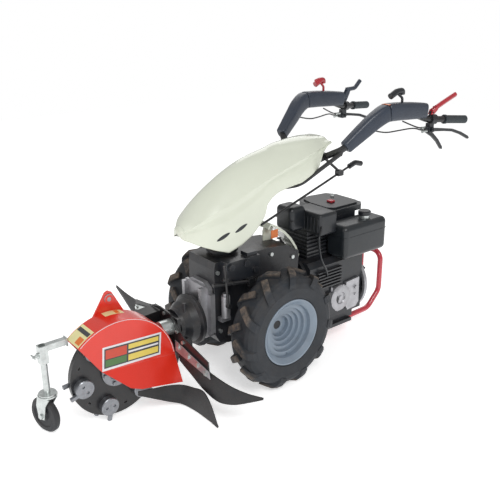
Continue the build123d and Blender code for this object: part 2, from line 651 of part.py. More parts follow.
tube_points = [(-40, 46, 760), (310, 62, 866), (356, 84, 888), (361, 196, 941),
               (533, 247, 1077), (700, 250, 1062), (812, 258, 1022), (1043.2, 297.8, 1001.2)]
tube_bends = [80, 34, 55, 80, 120, 120]
with BuildPart() as handle_frame:
    for side in (-1, 1):
        bent_tube([(x, side * y, z) for x, y, z in tube_points], handle_tube_radius,
                  tube_bends)
        # side plate from the tilt pivot to the tube
        y_in, y_out = sorted((side * 32, side * 38))
        side_plate([(swivel_x - 28, pivot_z - 20), (swivel_x + 24, pivot_z - 24),
                    (60, 760), (120, 800), (120, 828), (-40, 782), (swivel_x - 20, pivot_z + 36)],
                   y_in, y_out)
        # lower brace from the side plate to the tube behind the cowl
        bent_tube([(96, side * 40, 782), (250, side * 56, 780), (358, side * 178, 916)], 9, [60])
        bar((358, side * 178, 912), (361, side * 186, 936), 9)
    bar((swivel_x, -38, pivot_z), (swivel_x, 38, pivot_z), pivot_pin_radius)
    bar((359, -112, 898), (359, 112, 898), 11)
    # bracket that guides the gear rod
    guide = (482, -60, 648 + rod_slope * (482 - 30))
    brick((466, -72, guide[2] - 11), (498, -48, guide[2] + 13))
    bar((359, -60, 898), (480, -60, guide[2] + 8), 6)
    bar((30, -60, 648), (560, -60, 648 + rod_slope * 530), rod_radius + running_gap,
        mode=Mode.SUBTRACT)

# Cowl: sections along the machine as (x, crest z, crease z, crease half width, side half width)
cowl_sections = [
    (-330, 706, 690, 34, 40), (-300, 735, 712, 62, 70), (-250, 790, 742, 82, 92),
    (-160, 856, 776, 95, 106), (-40, 915, 822, 100, 108), (80, 946, 862, 101, 108),
    (200, 962, 896, 99, 106), (310, 969, 928, 96, 102), (388, 962, 940, 90, 98),
]
lower_edge = [
    (-345, 672), (-330, 652), (-290, 632), (-230, 606), (-172, 586), (-110, 606),
    (-56, 634), (-10, 676), (12, 706), (24, 748), (50, 772), (84, 788), (140, 799),
    (208, 806), (262, 828), (312, 856), (336, 912), (362, 938), (396, 950),
]


def cowl_solid(inset, x_shift_front, x_shift_rear):
    """The cowl's outer form, or the space inside it when inset is the wall."""
    faces = []
    last = len(cowl_sections) - 1
    for index, (x, crest, crease, half_crease, half_side) in enumerate(cowl_sections):
        x += x_shift_front if index == 0 else (x_shift_rear if index == last else 0)
        rise = crest - crease
        outline = [
            (-half_side + inset, 540), (-half_side + inset, crease - 60),
            (-half_crease + inset, crease - inset * 0.4),
            (-0.72 * half_crease + inset * 0.7, crease + 0.52 * rise - inset * 0.8),
            (-0.36 * half_crease + inset * 0.3, crease + 0.9 * rise - inset),
            (0, crest - inset),
        ]
        outline += [(-y, z) for y, z in reversed(outline[:-1])]
        plane = Plane(origin=(x, 0, 0), x_dir=(0, 1, 0), z_dir=(1, 0, 0))
        with BuildSketch(plane, mode=Mode.PRIVATE) as section:
            with BuildLine():
                Polyline(*outline, close=True)
            make_face()
        faces.append(section.sketch.faces()[0])
    return faces


with BuildPart() as cowl:
    loft(cowl_solid(0, 0, 0), ruled=True)
    loft(cowl_solid(cowl_wall, cowl_wall, 12), ruled=True, mode=Mode.SUBTRACT)
    side_plate(lower_edge + [(410, 950), (410, 500), (-360, 500), (-360, 672)], -130, 130,
               mode=Mode.SUBTRACT)
    # two slanted vents on each side
    for x, z in ((-188, 664), (-104, 684)):
        side_plate([(x - 30, z - 14), (x + 22, z + 2), (x + 28, z + 14), (x - 16, z)], -130, 130,
                   mode=Mode.SUBTRACT)

# Padded arm covers over the tubes
arm_spine = [(367, 198, 946, 50, 46), (450, 222, 1012, 64, 54), (502, 238, 1052, 70, 58),
             (548, 247, 1074, 74, 60), (600, 248.5, 1075, 74, 60), (700, 249.4, 1069, 72, 58),
             (800, 250, 1060, 66, 54)]


def arm_sections(side):
    """Rounded box sections square to the arm's centre line."""
    faces = []
    for index, (x, y, z, tall, wide) in enumerate(arm_spine):
        before = arm_spine[max(index - 1, 0)]
        after = arm_spine[min(index + 1, len(arm_spine) - 1)]
        run = Vector(after[0] - before[0], side * (after[1] - before[1]), after[2] - before[2])
        plane = Plane(origin=(x, side * y, z), x_dir=run.cross(Vector(0, 0, 1)), z_dir=run)
        with BuildSketch(plane, mode=Mode.PRIVATE) as section:
            w, t = wide / 2, tall / 2
            with BuildLine():
                Polyline((-w, -t + 14), (-w + 12, -t), (w - 12, -t), (w, -t + 14),
                         (w, t - 16), (w - 14, t), (-w + 14, t), (-w, t - 16), close=True)
            make_face()
        faces.append(section.sketch.faces()[0])
    return faces


with BuildPart() as handle_arms:
    for side in (-1, 1):
        loft(arm_sections(side), ruled=True)
        bent_tube([(x, side * y, z) for x, y, z in tube_points], handle_tube_radius,
                  tube_bends, mode=Mode.SUBTRACT)
        # slot in which the knob lever swings
        base_x = 648 if side < 0 else 676
        brick((base_x - 26, side * 249 - 6.5, 1080), (base_x + 26, side * 249 + 6.5, 1130),
              mode=Mode.SUBTRACT)
        bar((base_x, side * 249 - 13, 1092), (base_x, side * 249 + 13, 1092), 4,
            mode=Mode.SUBTRACT)

grip_end = Vector(*tube_points[-1])
grip_run = (Vector(*tube_points[-1]) - Vector(*tube_points[-2])).normalized()
with BuildPart() as grips:
    for side in (-1, 1):
        mirror_y = lambda v: (v.X, side * v.Y, v.Z)
        start = grip_end - grip_run * (grip_length - 6)
        stop = grip_end + grip_run * 6
        bar(mirror_y(start), mirror_y(stop), grip_radius)
        bar(mirror_y(start - grip_run * 2), mirror_y(grip_end), handle_tube_radius,
            mode=Mode.SUBTRACT)

clamp_centre = grip_end - grip_run * 199
lever_pivot = (clamp_centre.X - 16, 976.0)
safety_pivot = (clamp_centre.X - 12, 1050.0)
with BuildPart() as lever_clamps:
    for side in (-1, 1):
        mirror_y = lambda v: (v.X, side * v.Y, v.Z)
        bar(mirror_y(clamp_centre - grip_run * 14), mirror_y(clamp_centre + grip_run * 14), 22)
        # body under the tube that holds the lever pivots
        y_mid = side * clamp_centre.Y
        brick((clamp_centre.X - 30, y_mid - 12, 962), (clamp_centre.X - 2, y_mid + 12, 1004))
        brick((clamp_centre.X - 46, y_mid - 8, 966), (clamp_centre.X - 30, y_mid + 8, 990))
        brick((clamp_centre.X - 22, y_mid - 4, 1030), (clamp_centre.X + 2, y_mid + 4, 1056))
        bar(mirror_y(clamp_centre - grip_run * 28), mirror_y(clamp_centre + grip_run * 40),
            handle_tube_radius, mode=Mode.SUBTRACT)
        # fixed pins on which the levers turn
        bar((lever_pivot[0], y_mid - 26, lever_pivot[1]),
            (lever_pivot[0], y_mid + 26, lever_pivot[1]), 4)
        bar((safety_pivot[0], y_mid - 13, safety_pivot[1]),
            (safety_pivot[0], y_mid + 13, safety_pivot[1]), 3)



def hand_lever(y, points, width, pin_radius, pivot, ear):
    """A bent flat lever with a forked root around a pivot, seen from the side."""
    side_plate(points, y - width / 2, y + width / 2)
    turned((pivot[0], y - width / 2, pivot[1]), (0, 1, 0), [(0, 0), (0, ear), (width, ear), (width, 0)])
    bar((pivot[0], y - width, pivot[1]), (pivot[0], y + width, pivot[1]), pin_radius,
        mode=Mode.SUBTRACT)


px, pz = lever_pivot
upper_lever = [(px - 10, pz + 8), (px + 20, pz + 6), (px + 76, pz - 2), (px + 144, pz - 12),
               (px + 212, pz - 34), (px + 270, pz - 60), (px + 278, pz - 70),
               (px + 268, pz - 74), (px + 206, pz - 46), (px + 140, pz - 24),
               (px + 74, pz - 14), (px + 14, pz - 8), (px - 8, pz - 8)]
lower_lever = [(px - 8, pz + 4), (px + 12, pz - 6), (px + 50, pz - 26), (px + 90, pz - 58),
               (px + 124, pz - 96), (px + 126, pz - 108), (px + 114, pz - 106),
               (px + 80, pz - 70), (px + 40, pz - 40), (px - 2, pz - 18), (px - 12, pz - 10)]
left_y = -clamp_centre.Y
with BuildPart() as clutch_lever:
    hand_lever(left_y - 17.5, upper_lever, 9, 4 + running_gap, lever_pivot, 10)
with BuildPart() as brake_lever:
    hand_lever(left_y + 17.5, lower_lever, 9, 4 + running_gap, lever_pivot, 10)
with BuildPart() as brake_lever_right:
    hand_lever(-left_y + 17.5, upper_lever, 9, 4 + running_gap, lever_pivot, 10)
with BuildPart() as hook_lever:
    sx, sz = safety_pivot
    hook_y = -left_y
    for y_low, y_high in ((hook_y - 10, hook_y - 5), (hook_y + 5, hook_y + 10)):
        side_plate([(sx - 12, sz - 8), (sx + 10, sz - 6), (sx + 30, sz + 30), (sx + 36, sz + 56),
                    (sx + 18, sz + 50), (sx - 8, sz + 12)], y_low, y_high)
        bar((sx, y_low - 1, sz), (sx, y_high + 1, sz), 3 + running_gap, mode=Mode.SUBTRACT)
    brick((sx + 18, hook_y - 10, sz + 38), (sx + 34, hook_y + 10, sz + 56))
    bent_tube([(sx + 20, hook_y, sz + 48), (sx + 76, hook_y, sz + 50), (sx + 112, hook_y, sz + 84)],
              10, [30])
with BuildPart() as safety_lever:
    for y_low, y_high in ((left_y - 10, left_y - 5), (left_y + 5, left_y + 10)):
        side_plate([(sx - 10, sz - 8), (sx + 12, sz - 6), (sx + 34, sz + 10), (sx + 34, sz + 24),
                    (sx - 2, sz + 12)], y_low, y_high)
        bar((sx, y_low - 1, sz), (sx, y_high + 1, sz), 3 + running_gap, mode=Mode.SUBTRACT)
    brick((sx + 20, left_y - 10, sz + 9), (sx + 34, left_y + 10, sz + 24))
    bar((sx + 28, left_y, sz + 17), (sx + 166, left_y, sz + 64), 9)

def knob_lever(base_x, y, forward):
    """A swan-necked lever that stands in the arm's slot."""
    bent_tube([(base_x, y, 1092), (base_x, y, 1128), (base_x - forward * 0.62, y, 1158),
               (base_x - forward, y, 1142)], 5.5, [14, 12])
    bar((base_x, y - 5.5, 1092), (base_x, y + 5.5, 1092), 9)


with BuildPart() as knob_lever_left:
    knob_lever(648, -249, 74)
    bar((648 - 78, -249, 1140.5), (648 - 40, -249, 1157), 13)
    bar((648, -261, 1092), (648, -237, 1092), 4 - running_gap)
with BuildPart() as knob_lever_right:
    knob_lever(676, 249, 52)
    bar((676 - 56, 249, 1141), (676 - 22, 249, 1158), 13)
    bar((676, 237, 1092), (676, 261, 1092), 4 - running_gap)

rod_run = Vector(1, 0, rod_slope).normalized()
rod_start = Vector(30, -60, 648)
rod_end = rod_start + rod_run * 540
with BuildPart() as gear_rod:
    bar(tuple(rod_start), tuple(rod_end), rod_radius)
with BuildPart() as gear_knob:
    knob_root = rod_end
    bent_tube([tuple(knob_root), tuple(knob_root + rod_run * 40),
               tuple(knob_root + Vector(78, 0, 2))], 12, [24])

# Control cables from the lever clamps to the undersides of the arms
cable_radius = 3.2
cable_runs = {
    "left": [
        [(clamp_centre.X - 46, left_y - 4, 978), (clamp_centre.X - 78, left_y - 4, 978),
         (730, -258, 994), (640, -238, 988), (566, -230, 986), (508, -231, 1003)],
        [(clamp_centre.X - 46, left_y + 4, 986), (clamp_centre.X - 74, left_y + 4, 986),
         (726, -252, 1002), (672, -240, 1026)],
    ],
    "right": [
        [(clamp_centre.X - 46, -left_y + 4, 978), (clamp_centre.X - 78, -left_y + 4, 978),
         (730, 258, 994), (640, 238, 988), (566, 230, 986), (508, 231, 1003)],
        [(clamp_centre.X - 46, -left_y - 4, 986), (clamp_centre.X - 74, -left_y - 4, 986),
         (726, 252, 1002), (672, 240, 1026)],
    ],
}


def run_radii(points):
    """The largest arcs that the runs allow: 0.45 of the shorter run over tan(half turn)."""
    radii = []
    for a, b, c in zip(points, points[1:], points[2:]):
        first, second = Vector(*b) - Vector(*a), Vector(*c) - Vector(*b)
        turn = radians(first.get_angle(second))
        shorter = min(first.length, second.length)
        radii.append(round(0.45 * shorter / (sin(turn / 2) / cos(turn / 2)), 1))
    return radii


with BuildPart() as control_cables:
    for name, routes in cable_runs.items():
        for route in routes:
            length = bent_tube(route, cable_radius, run_radii(route))
            print(name, "radii", run_radii(route), "length", round(length, 1))

# ---------------------------------------------------------------- engine
with BuildPart() as engine_flange:
    turned((rear_x, 0, 330), (1, 0, 0), [(0, 0), (0, 104), (14, 104), (14, 86), (34, 86),
                                         (34, 110), (engine_front - rear_x, 110),
                                         (engine_front - rear_x, 0)])
    front_plate([(-60, 400), (60, 400), (60, 486), (-60, 486)], rear_x, rear_x + 30)

with BuildPart() as engine_block:
    brick((engine_front, -engine_half_width, engine_low + 40),
          (engine_rear, engine_half_width, engine_top))
    brick((engine_front + 40, -engine_half_width + 14, engine_low),
          (engine_rear - 40, engine_half_width - 14, engine_low + 40))
    chamfer(engine_block.edges().filter_by(Axis.X).group_by(Axis.Z)[-1], 22)
    # cooling fins on the left
    for index in range(6):
        z = 300 + 15 * index
        brick((300, -engine_half_width - 16, z), (452, -engine_half_width, z + 6))
    # timing cover on the left, below the fins
    turned((380, -engine_half_width, 212), (0, -1, 0), [(0, 0), (0, 62), (14, 56), (14, 0)])
    brick((engine_front + engine_wall, -engine_half_width + engine_wall, engine_low + 52),
          (engine_rear + 1, engine_half_width - engine_wall, engine_top - 30),
          mode=Mode.SUBTRACT)

    # mounting feet
    for side in (-1, 1):
        y_in, y_out = sorted((side * 78, side * 122))
        brick((330, y_in, engine_low - 16), (540, y_out, engine_low))

with BuildPart() as cylinder:
    brick((300, -54, engine_top), (430, 130, 553.7))
    for index in range(6):
        z = engine_top + 14 + 18 * index
        brick((292, -63, z), (436, 142, z + 6))
    brick((316, -40, engine_top - 1), (414, 114, 545.7), mode=Mode.SUBTRACT)
    # fan shroud behind the cylinder
    brick((434, -58, engine_top + 1), (engine_rear, 150, 596.7))
    brick((442, -50, engine_top), (engine_rear + 1, 142, 588.7), mode=Mode.SUBTRACT)
    brick((engine_rear - 8, -50, 430), (engine_rear, 142, 588.7))

# Muffler canister in front, and the louvred air box beside it
with BuildPart() as muffler_box:
    side_plate([(230, 566), (300, 566), (300, 678), (216, 678), (208, 670), (208, 588)], -46, 62)
    side_plate([(302, 554), (392, 554), (400, 562), (400, 646), (392, 654), (300, 654),
                (292, 646), (292, 564)], -140, 40)
    brick((216, -38, 578), (301, 54, 646), mode=Mode.SUBTRACT)
    brick((300, -132, 562), (401, 32, 646), mode=Mode.SUBTRACT)
    # louvres on the front face
    for index in range(4):
        y = -130 + 21 * index
        brick((288, y, 572), (293, y + 7, 634))

with BuildPart() as top_cover:
    cover = [(440, -30), (470, -58), (640, -58), (668, -30), (668, 120), (640, 178), (520, 196),
             (460, 170), (440, 100)]
    flat_plate(cover, 597, 622)
    flat_plate([(x * 0.86 + 78, y * 0.86 + 9) for x, y in cover], 621, 630)
    flat_plate([(x * 0.92 + 44, y * 0.92 + 5) for x, y in cover], 590, 614, mode=Mode.SUBTRACT)

tx, ty, tz = tank_corner
tl, tw, th = tank_size
with BuildPart() as fuel_tank:
    brick((tx, ty, tz), (tx + tl, ty + tw, tz + th))
    fillet(fuel_tank.edges(), 16)
    brick((tx + 5, ty - 2, tz + th * 0.56), (tx + tl - 18, ty + 1.6, tz + th * 0.56 + 7),
          mode=Mode.SUBTRACT)
    bar((tx + 178, ty + 54, tz + th - 2), (tx + 178, ty + 54, tz + th + 16), 24)
    bar((tx + 178, ty + 54, tz + th - 60), (tx + 178, ty + 54, tz + th + 17), 18,
        mode=Mode.SUBTRACT)
    brick((tx + 12, ty + 12, tz + 12), (tx + tl - 12, ty + tw - 12, tz + th - 12),
          mode=Mode.SUBTRACT)

with BuildPart() as tank_cap:
    cap = (tx + 178, ty + 54, tz + th + 16.3)
    turned(cap, (0, 0, 1), [(-14, 0), (-14, 17.6), (0, 17.6), (0, 29), (14, 29), (18, 25), (18, 0)])

with BuildPart() as recoil_housing:
    turned((engine_rear, 0, crank_z), (1, 0, 0),
           [(0, 128), (0, 142), (14, 144), (22, 138), (40, 120), (48, 100), (48, 70),
            (56, 60), (56, 0), (52, 0), (44, 66), (40, 96), (34, 112), (16, 128)])

starter_z = crank_z + 84.0
with BuildPart() as starter_grip:
    bar((engine_rear + 62, -46, starter_z - 10), (engine_rear + 74, -70, starter_z - 34), 9)
    bar((engine_rear + 54, -40, starter_z - 4), (engine_rear + 68, -60, starter_z - 24), 5)

with BuildPart() as side_cover:
    side_plate([(486, 290), (572, 296), (574, 170), (556, 150), (500, 146), (486, 170)],
               -engine_half_width - 12, -engine_half_width)
    bar((548, -engine_half_width - 12, 250), (548, -engine_half_width - 20, 250), 9)
    bar((548, -engine_half_width - 12, 214), (548, -engine_half_width - 18, 214), 6)

bumper_y = 62.0
bumper_points = [(400, 62), (556, 62), (722, 68), (798, 146), (798, 346)]
with BuildPart() as engine_bumper:
    route = [(x, -bumper_y, z) for x, z in bumper_points]
    route += [(x, bumper_y, z) for x, z in reversed(bumper_points)]
    bent_tube(route, bumper_tube, [120, 60, 55, 45, 45, 55, 60, 120])

with BuildPart() as rear_guard:
    # curved cream strip between the gearbox and the engine
    strip = [(96, 606), (112, 628), (150, 608), (192, 577), (232, 536), (262, 492), (280, 446)]
    inner_strip = [(276, 440), (254, 486), (224, 528), (186, 568), (146, 599), (114, 618),
                   (102, 602)]
    side_plate(strip + inner_strip, -26, 44)
    side_plate([(96, 546.2), (150, 540.2), (150, 604), (114, 618), (102, 602), (96, 590)], 6, 12)

with BuildPart() as chassis_bolts:
    for x, z in ((-212, 250), (-221, 508), (60, 520), (180, 480), (180, 330)):
        for side in (-1, 1):
            hex_bolt((x, side * case_half_width, z), (0, side, 0), 9, 7)
    for index in range(6):
        x, z = polar(0, tyre_radius, 62, 60 * index + 30)
        for side in (-1, 1):
            hex_bolt((x, side * (case_half_width + 6), z), (0, side, 0), 8, 6)
    for index in range(5):
        x, z = polar(-96, 446, 46, 72 * index + 20)
        hex_bolt((x, case_half_width + 9, z), (0, 1, 0), 7, 6)
    for angle in (30, 150, 210, 270, 330):
        y, z = 96 * cos(radians(angle)), 330 + 96 * sin(radians(angle))
        hex_bolt((rear_x + 14, y, z), (1, 0, 0), 7, 6)

# ---------------------------------------------------------------- write the pieces
pieces = {
    "rim_left": rim_left, "tyre_left": tyre_left, "wheel_bolts_left": wheel_bolts_left,
    "rim_right": rim_right, "tyre_right": tyre_right, "wheel_bolts_right": wheel_bolts_right,
    "gearbox_case": gearbox_case, "selector_box": selector_box, "linkage_rods": linkage_rods,
    "drop_link": drop_link, "pto_flange": pto_flange, "implement_bell": implement_bell,
    "drive_case": drive_case, "mount_boss": mount_boss, "grinder_hood": grinder_hood,
    "hood_lug": hood_lug, "cutter_disc": cutter_disc, "cutter_shaft": cutter_shaft,
    "cutter_heads": cutter_heads, "cutter_teeth": cutter_teeth, "cutter_bolts": cutter_bolts,
    "shield_plate": shield_plate, "clamp_strips": clamp_strips, "shield_bolts": shield_bolts,
    "rubber_wings": rubber_wings, "curtain_flap": curtain_flap, "support_arm": support_arm,
    "castor_screw": castor_screw, "castor_post": castor_post, "castor_fork": castor_fork,
    "castor_wheel": castor_wheel, "column_head": column_head, "handle_frame": handle_frame,
    "cowl": cowl, "handle_arms": handle_arms, "grips": grips, "lever_clamps": lever_clamps,
    "clutch_lever": clutch_lever, "brake_lever": brake_lever,
    "brake_lever_right": brake_lever_right, "hook_lever": hook_lever,
    "safety_lever": safety_lever, "knob_lever_left": knob_lever_left,
    "knob_lever_right": knob_lever_right, "gear_rod": gear_rod, "gear_knob": gear_knob,
    "control_cables": control_cables, "engine_flange": engine_flange,
    "engine_block": engine_block, "cylinder": cylinder, "muffler_box": muffler_box,
    "top_cover": top_cover, "fuel_tank": fuel_tank, "tank_cap": tank_cap,
    "recoil_housing": recoil_housing, "starter_grip": starter_grip, "side_cover": side_cover,
    "engine_bumper": engine_bumper, "rear_guard": rear_guard, "chassis_bolts": chassis_bolts,
}
for label, piece in pieces.items():
    piece.part.label = label
    export_step(piece.part, f"parts/{label}.step")
print(len(pieces), "pieces")
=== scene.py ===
import json

import bmesh
import bpy
import numpy as np
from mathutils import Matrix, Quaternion, Vector
from bpy.props import FloatProperty, FloatVectorProperty, IntProperty, PointerProperty


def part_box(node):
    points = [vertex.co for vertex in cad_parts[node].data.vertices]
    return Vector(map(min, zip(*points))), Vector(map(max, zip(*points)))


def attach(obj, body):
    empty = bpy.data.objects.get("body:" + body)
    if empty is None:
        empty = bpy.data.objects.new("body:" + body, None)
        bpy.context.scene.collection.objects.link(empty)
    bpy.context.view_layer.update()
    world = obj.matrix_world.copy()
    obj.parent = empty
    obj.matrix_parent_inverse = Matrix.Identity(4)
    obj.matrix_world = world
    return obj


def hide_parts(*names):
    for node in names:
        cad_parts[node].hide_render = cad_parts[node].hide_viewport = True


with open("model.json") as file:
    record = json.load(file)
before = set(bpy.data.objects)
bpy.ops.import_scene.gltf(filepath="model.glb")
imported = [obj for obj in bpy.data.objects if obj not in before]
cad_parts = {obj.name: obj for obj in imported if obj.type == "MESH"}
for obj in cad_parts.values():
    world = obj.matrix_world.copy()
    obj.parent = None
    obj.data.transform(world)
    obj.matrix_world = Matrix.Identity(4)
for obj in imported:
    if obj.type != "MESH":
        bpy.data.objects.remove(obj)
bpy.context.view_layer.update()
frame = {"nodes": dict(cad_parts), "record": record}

bl_info = {
    "name": "Walking tractor with grinding head",
    "version": (1, 0, 0),
    "blender": (4, 5, 0),
    "location": "3D View > Sidebar > Tractor",
    "description": "Builds the detailed pieces and finishes of a walking tractor around its frame",
    "category": "Object",
}

MM = 0.001


# ---------------------------------------------------------------- sizes and colours
def paint(name, description, colour):
    """A colour that a user can change, with its default."""
    return FloatVectorProperty(name=name, description=description, subtype="COLOR", size=3,
                               min=0.0, max=1.0, default=colour)


def length(name, description, default, low, high):
    """A size in metres that a user can change."""
    return FloatProperty(name=name, description=description, default=default, min=low, max=high,
                         unit="LENGTH", subtype="DISTANCE")


class TractorColours(bpy.types.PropertyGroup):
    hood: paint("Hood", "Powder coat on the grinding head", (0.70, 0.026, 0.010))
    cowl: paint("Cowl", "Gloss plastic of the cowl", (0.66, 0.69, 0.58))
    rim: paint("Rims", "Grey-blue wheel paint", (0.19, 0.24, 0.30))
    bumper: paint("Bumper", "Engine bumper paint", (0.50, 0.03, 0.05))
    tread: paint("Tyres", "Tread rubber", (0.014, 0.018, 0.024))
    soil: paint("Soil", "Dry soil dust on the tread and castings", (0.20, 0.15, 0.11))


class TractorSizes(bpy.types.PropertyGroup):
    label_thickness: length("Label thickness", "Thickness of the plain coloured labels",
                            0.0006, 0.0003, 0.002)
    grip_ribs: IntProperty(name="Grip ribs", description="Rings along each rubber grip",
                           default=16, min=6, max=30)
    floor_size: length("Floor", "Side of the studio floor", 14.0, 4.0, 40.0)


# ---------------------------------------------------------------- arrays for shapes
def vec(*numbers):
    return np.array(numbers, float)


def unit(rows):
    """Each row divided by its own length."""
    return rows / np.linalg.norm(rows, axis=-1, keepdims=True)


def through(xs, ys, x):
    """Cubic Hermite curve through the points, with each slope the mean of its two runs' slopes."""
    xs, ys = np.asarray(xs, float), np.asarray(ys, float)
    run = np.diff(ys, axis=0) / (np.diff(xs).reshape((-1,) + (1,) * (ys.ndim - 1)))
    slope = np.concatenate([run[:1], (run[1:] + run[:-1]) / 2, run[-1:]])
    k = np.clip(np.searchsorted(xs, x, side="right") - 1, 0, len(xs) - 2)
    h = (xs[k + 1] - xs[k])
    t = (np.asarray(x, float) - xs[k]) / h
    if ys.ndim > 1:
        h, t = h[:, None], t[:, None]
    return ((2 * t**3 - 3 * t**2 + 1) * ys[k] + (t**3 - 2 * t**2 + t) * h * slope[k]
            + (-2 * t**3 + 3 * t**2) * ys[k + 1] + (t**3 - t**2) * h * slope[k + 1])


def line_through(points, count):
    """A smooth line of count points through the given ones, spaced by their chord lengths."""
    points = np.asarray(points, float)
    s = np.concatenate([[0], np.cumsum(np.linalg.norm(np.diff(points, axis=0), axis=1))])
    return through(s, points, np.linspace(0, s[-1], count))


def grid_faces(rows, cols, wrap_rows=False, wrap_cols=False):
    """Corner numbers of the quads of a rows x cols grid, either way closed on itself."""
    i, j = np.meshgrid(np.arange(rows if wrap_rows else rows - 1),
                       np.arange(cols if wrap_cols else cols - 1), indexing="ij")
    i2, j2 = (i + 1) % rows, (j + 1) % cols
    return np.stack([i * cols + j, i2 * cols + j, i2 * cols + j2, i * cols + j2],
                    -1).reshape(-1, 4)


def tube(grid, ring=False):
    """Rings of points (rows, columns, 3) joined into a closed skin: each end ring closes on
    its own middle point, unless the rows are a ring themselves."""
    rows, cols = grid.shape[:2]
    faces = grid_faces(rows, cols, ring, True).tolist()
    points = grid.reshape(-1, 3)
    if ring:
        return points, faces
    j = np.arange(cols)
    low, high = rows * cols, rows * cols + 1
    last = (rows - 1) * cols
    faces += np.stack([(j + 1) % cols, j, np.full(cols, low)], -1).tolist()
    faces += np.stack([last + j, last + (j + 1) % cols, np.full(cols, high)], -1).tolist()
    return np.vstack([points, grid[0].mean(0), grid[-1].mean(0)]), faces


def turned(profile, centre, axis, count=64, closed=True, arc=(0.0, 360.0)):
    """A profile of (distance along the axis, radius) turned about it:
    point = centre + axis * distance + radius * (cos t * side + sin t * lift)."""
    axis = unit(np.asarray(axis, float))
    side = unit(np.cross(axis, (0, 0, 1.0)) if abs(axis[2]) < 0.9 else np.cross(axis, (0, 1.0, 0)))
    lift = np.cross(axis, side)
    t = np.radians(np.linspace(arc[0], arc[1], count, endpoint=False))
    d, r = np.asarray(profile, float).T
    ray = np.cos(t)[:, None] * side + np.sin(t)[:, None] * lift
    grid = centre + axis * d[:, None, None] + r[:, None, None] * ray[None]
    return tube(grid, ring=closed)


def circle(radius, count=20):
    t = np.linspace(0, 2 * np.pi, count, endpoint=False)
    return radius * np.stack([np.cos(t), np.sin(t)], -1)


def carried(path, outline, up=(0, 0, 1.0), scale=None):
    """An outline of (side, lift) points carried along a path, always square to it:
    point = path + outline side * (tangent x up) + outline lift * (side x tangent)."""
    path = np.asarray(path, float)
    tangent = unit(np.gradient(path, axis=0))
    side = unit(np.cross(tangent, np.asarray(up, float)))
    lift = np.cross(side, tangent)
    outline = np.asarray(outline, float)
    if outline.ndim == 2:
        outline = np.repeat(outline[None], len(path), 0)
    if scale is not None:
        outline = outline * np.asarray(scale, float).reshape(len(path), 1, -1)
    return tube(path[:, None] + outline[..., :1] * side[:, None] + outline[..., 1:] * lift[:, None])


def rounded_box(low, high, radius, cuts=4):
    """A box whose edges and corners are round: a point q on the sharp box goes to the inner
    box's nearest point plus radius times the unit vector from there to q."""
    low, high = np.asarray(low, float), np.asarray(high, float)
    centre, half = (low + high) / 2, (high - low) / 2
    radius = min(radius, *(half * 0.98))
    points, faces, base = [], [], 0
    for axis in range(3):
        a, b = (axis + 1) % 3, (axis + 2) % 3
        edge = lambda h: np.concatenate([-h + radius * np.linspace(0, 1, cuts + 1),
                                         h - radius * np.linspace(1, 0, cuts + 1)])
        u, v = np.meshgrid(edge(half[a]), edge(half[b]), indexing="ij")
        for sign in (-1, 1):
            q = np.empty(u.shape + (3,))
            q[..., axis], q[..., a], q[..., b] = sign * half[axis], u, v
            inner = np.clip(q, -(half - radius), half - radius)
            points.append((centre + inner + radius * unit(q - inner)).reshape(-1, 3))
            quads = grid_faces(*u.shape)
            faces.append((quads if sign > 0 else quads[:, ::-1]) + base)
            base += u.size
    return np.vstack(points), np.vstack(faces).tolist()


def slab(outline, low, high, axis=1):
    """A flat outline given in the two other axes, thickened along the named one."""
    outline = np.asarray(outline, float)
    others = [k for k in range(3) if k != axis]
    grid = np.empty((2, len(outline), 3))
    grid[..., others] = outline
    grid[0, :, axis], grid[1, :, axis] = low, high
    n = len(outline)
    faces = grid_faces(2, n, False, True).tolist()
    return grid.reshape(-1, 3), faces + [list(range(n))[::-1], list(range(n, 2 * n))]


def hex_head(at, direction, size, height):
    """A bolt head with a domed top: six corners, then a smaller ring, then the middle."""
    return turned([(0, size), (height * 0.8, size), (height, size * 0.84)], np.asarray(at, float),
                  direction, 6, closed=False)


def washer_bolt(at, direction, size):
    """A washer with a hexagon head on it."""
    at, direction = np.asarray(at, float), unit(np.asarray(direction, float))
    return [turned([(0, size * 1.45), (size * 0.18, size * 1.45)], at, direction, 20, closed=False),
            hex_head(at + direction * size * 0.15, direction, size, size * 0.75)]


def joined(parts):
    """Several (points, faces) as one."""
    points, faces, base = [], [], 0
    for p, f in parts:
        points.append(p)
        faces += [[k + base for k in face] for face in f]
        base += len(p)
    return np.vstack(points), faces


def mirrored(part):
    """The same shape on the other side of the machine, its faces turned back outwards."""
    points, faces = part
    return points * (1, -1, 1), [face[::-1] for face in faces]


def piece(name, part, body, material, replaces=(), sharp=32, bevel=0.0, weld=0.02):
    """A mesh object from points in millimetres: welded, its faces turned outwards, shaded
    smooth except over edges sharper than the angle, riding on a body of the frame."""
    points, faces = part
    mesh = bpy.data.meshes.new(name)
    mesh.from_pydata((np.asarray(points) * MM).tolist(), [], faces)
    work = bmesh.new()
    work.from_mesh(mesh)
    bmesh.ops.remove_doubles(work, verts=work.verts, dist=weld * MM)
    bmesh.ops.dissolve_degenerate(work, edges=work.edges, dist=1e-7)
    bmesh.ops.recalc_face_normals(work, faces=work.faces)
    work.to_mesh(mesh)
    work.free()
    mesh.polygons.foreach_set("use_smooth", np.ones(len(mesh.polygons), bool))
    mesh.set_sharp_from_angle(angle=np.radians(sharp))
    made = bpy.data.objects.new(name, mesh)
    bpy.context.scene.collection.objects.link(made)
    mesh.materials.append(finish(material))
    if bevel:
        edge = made.modifiers.new("edge", "BEVEL")
        edge.width, edge.segments, edge.limit_method = bevel * MM, 2, "ANGLE"
        edge.angle_limit = np.radians(35)
        edge.harden_normals = False
    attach(made, body)
    if replaces:
        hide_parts(*replaces)
    return made


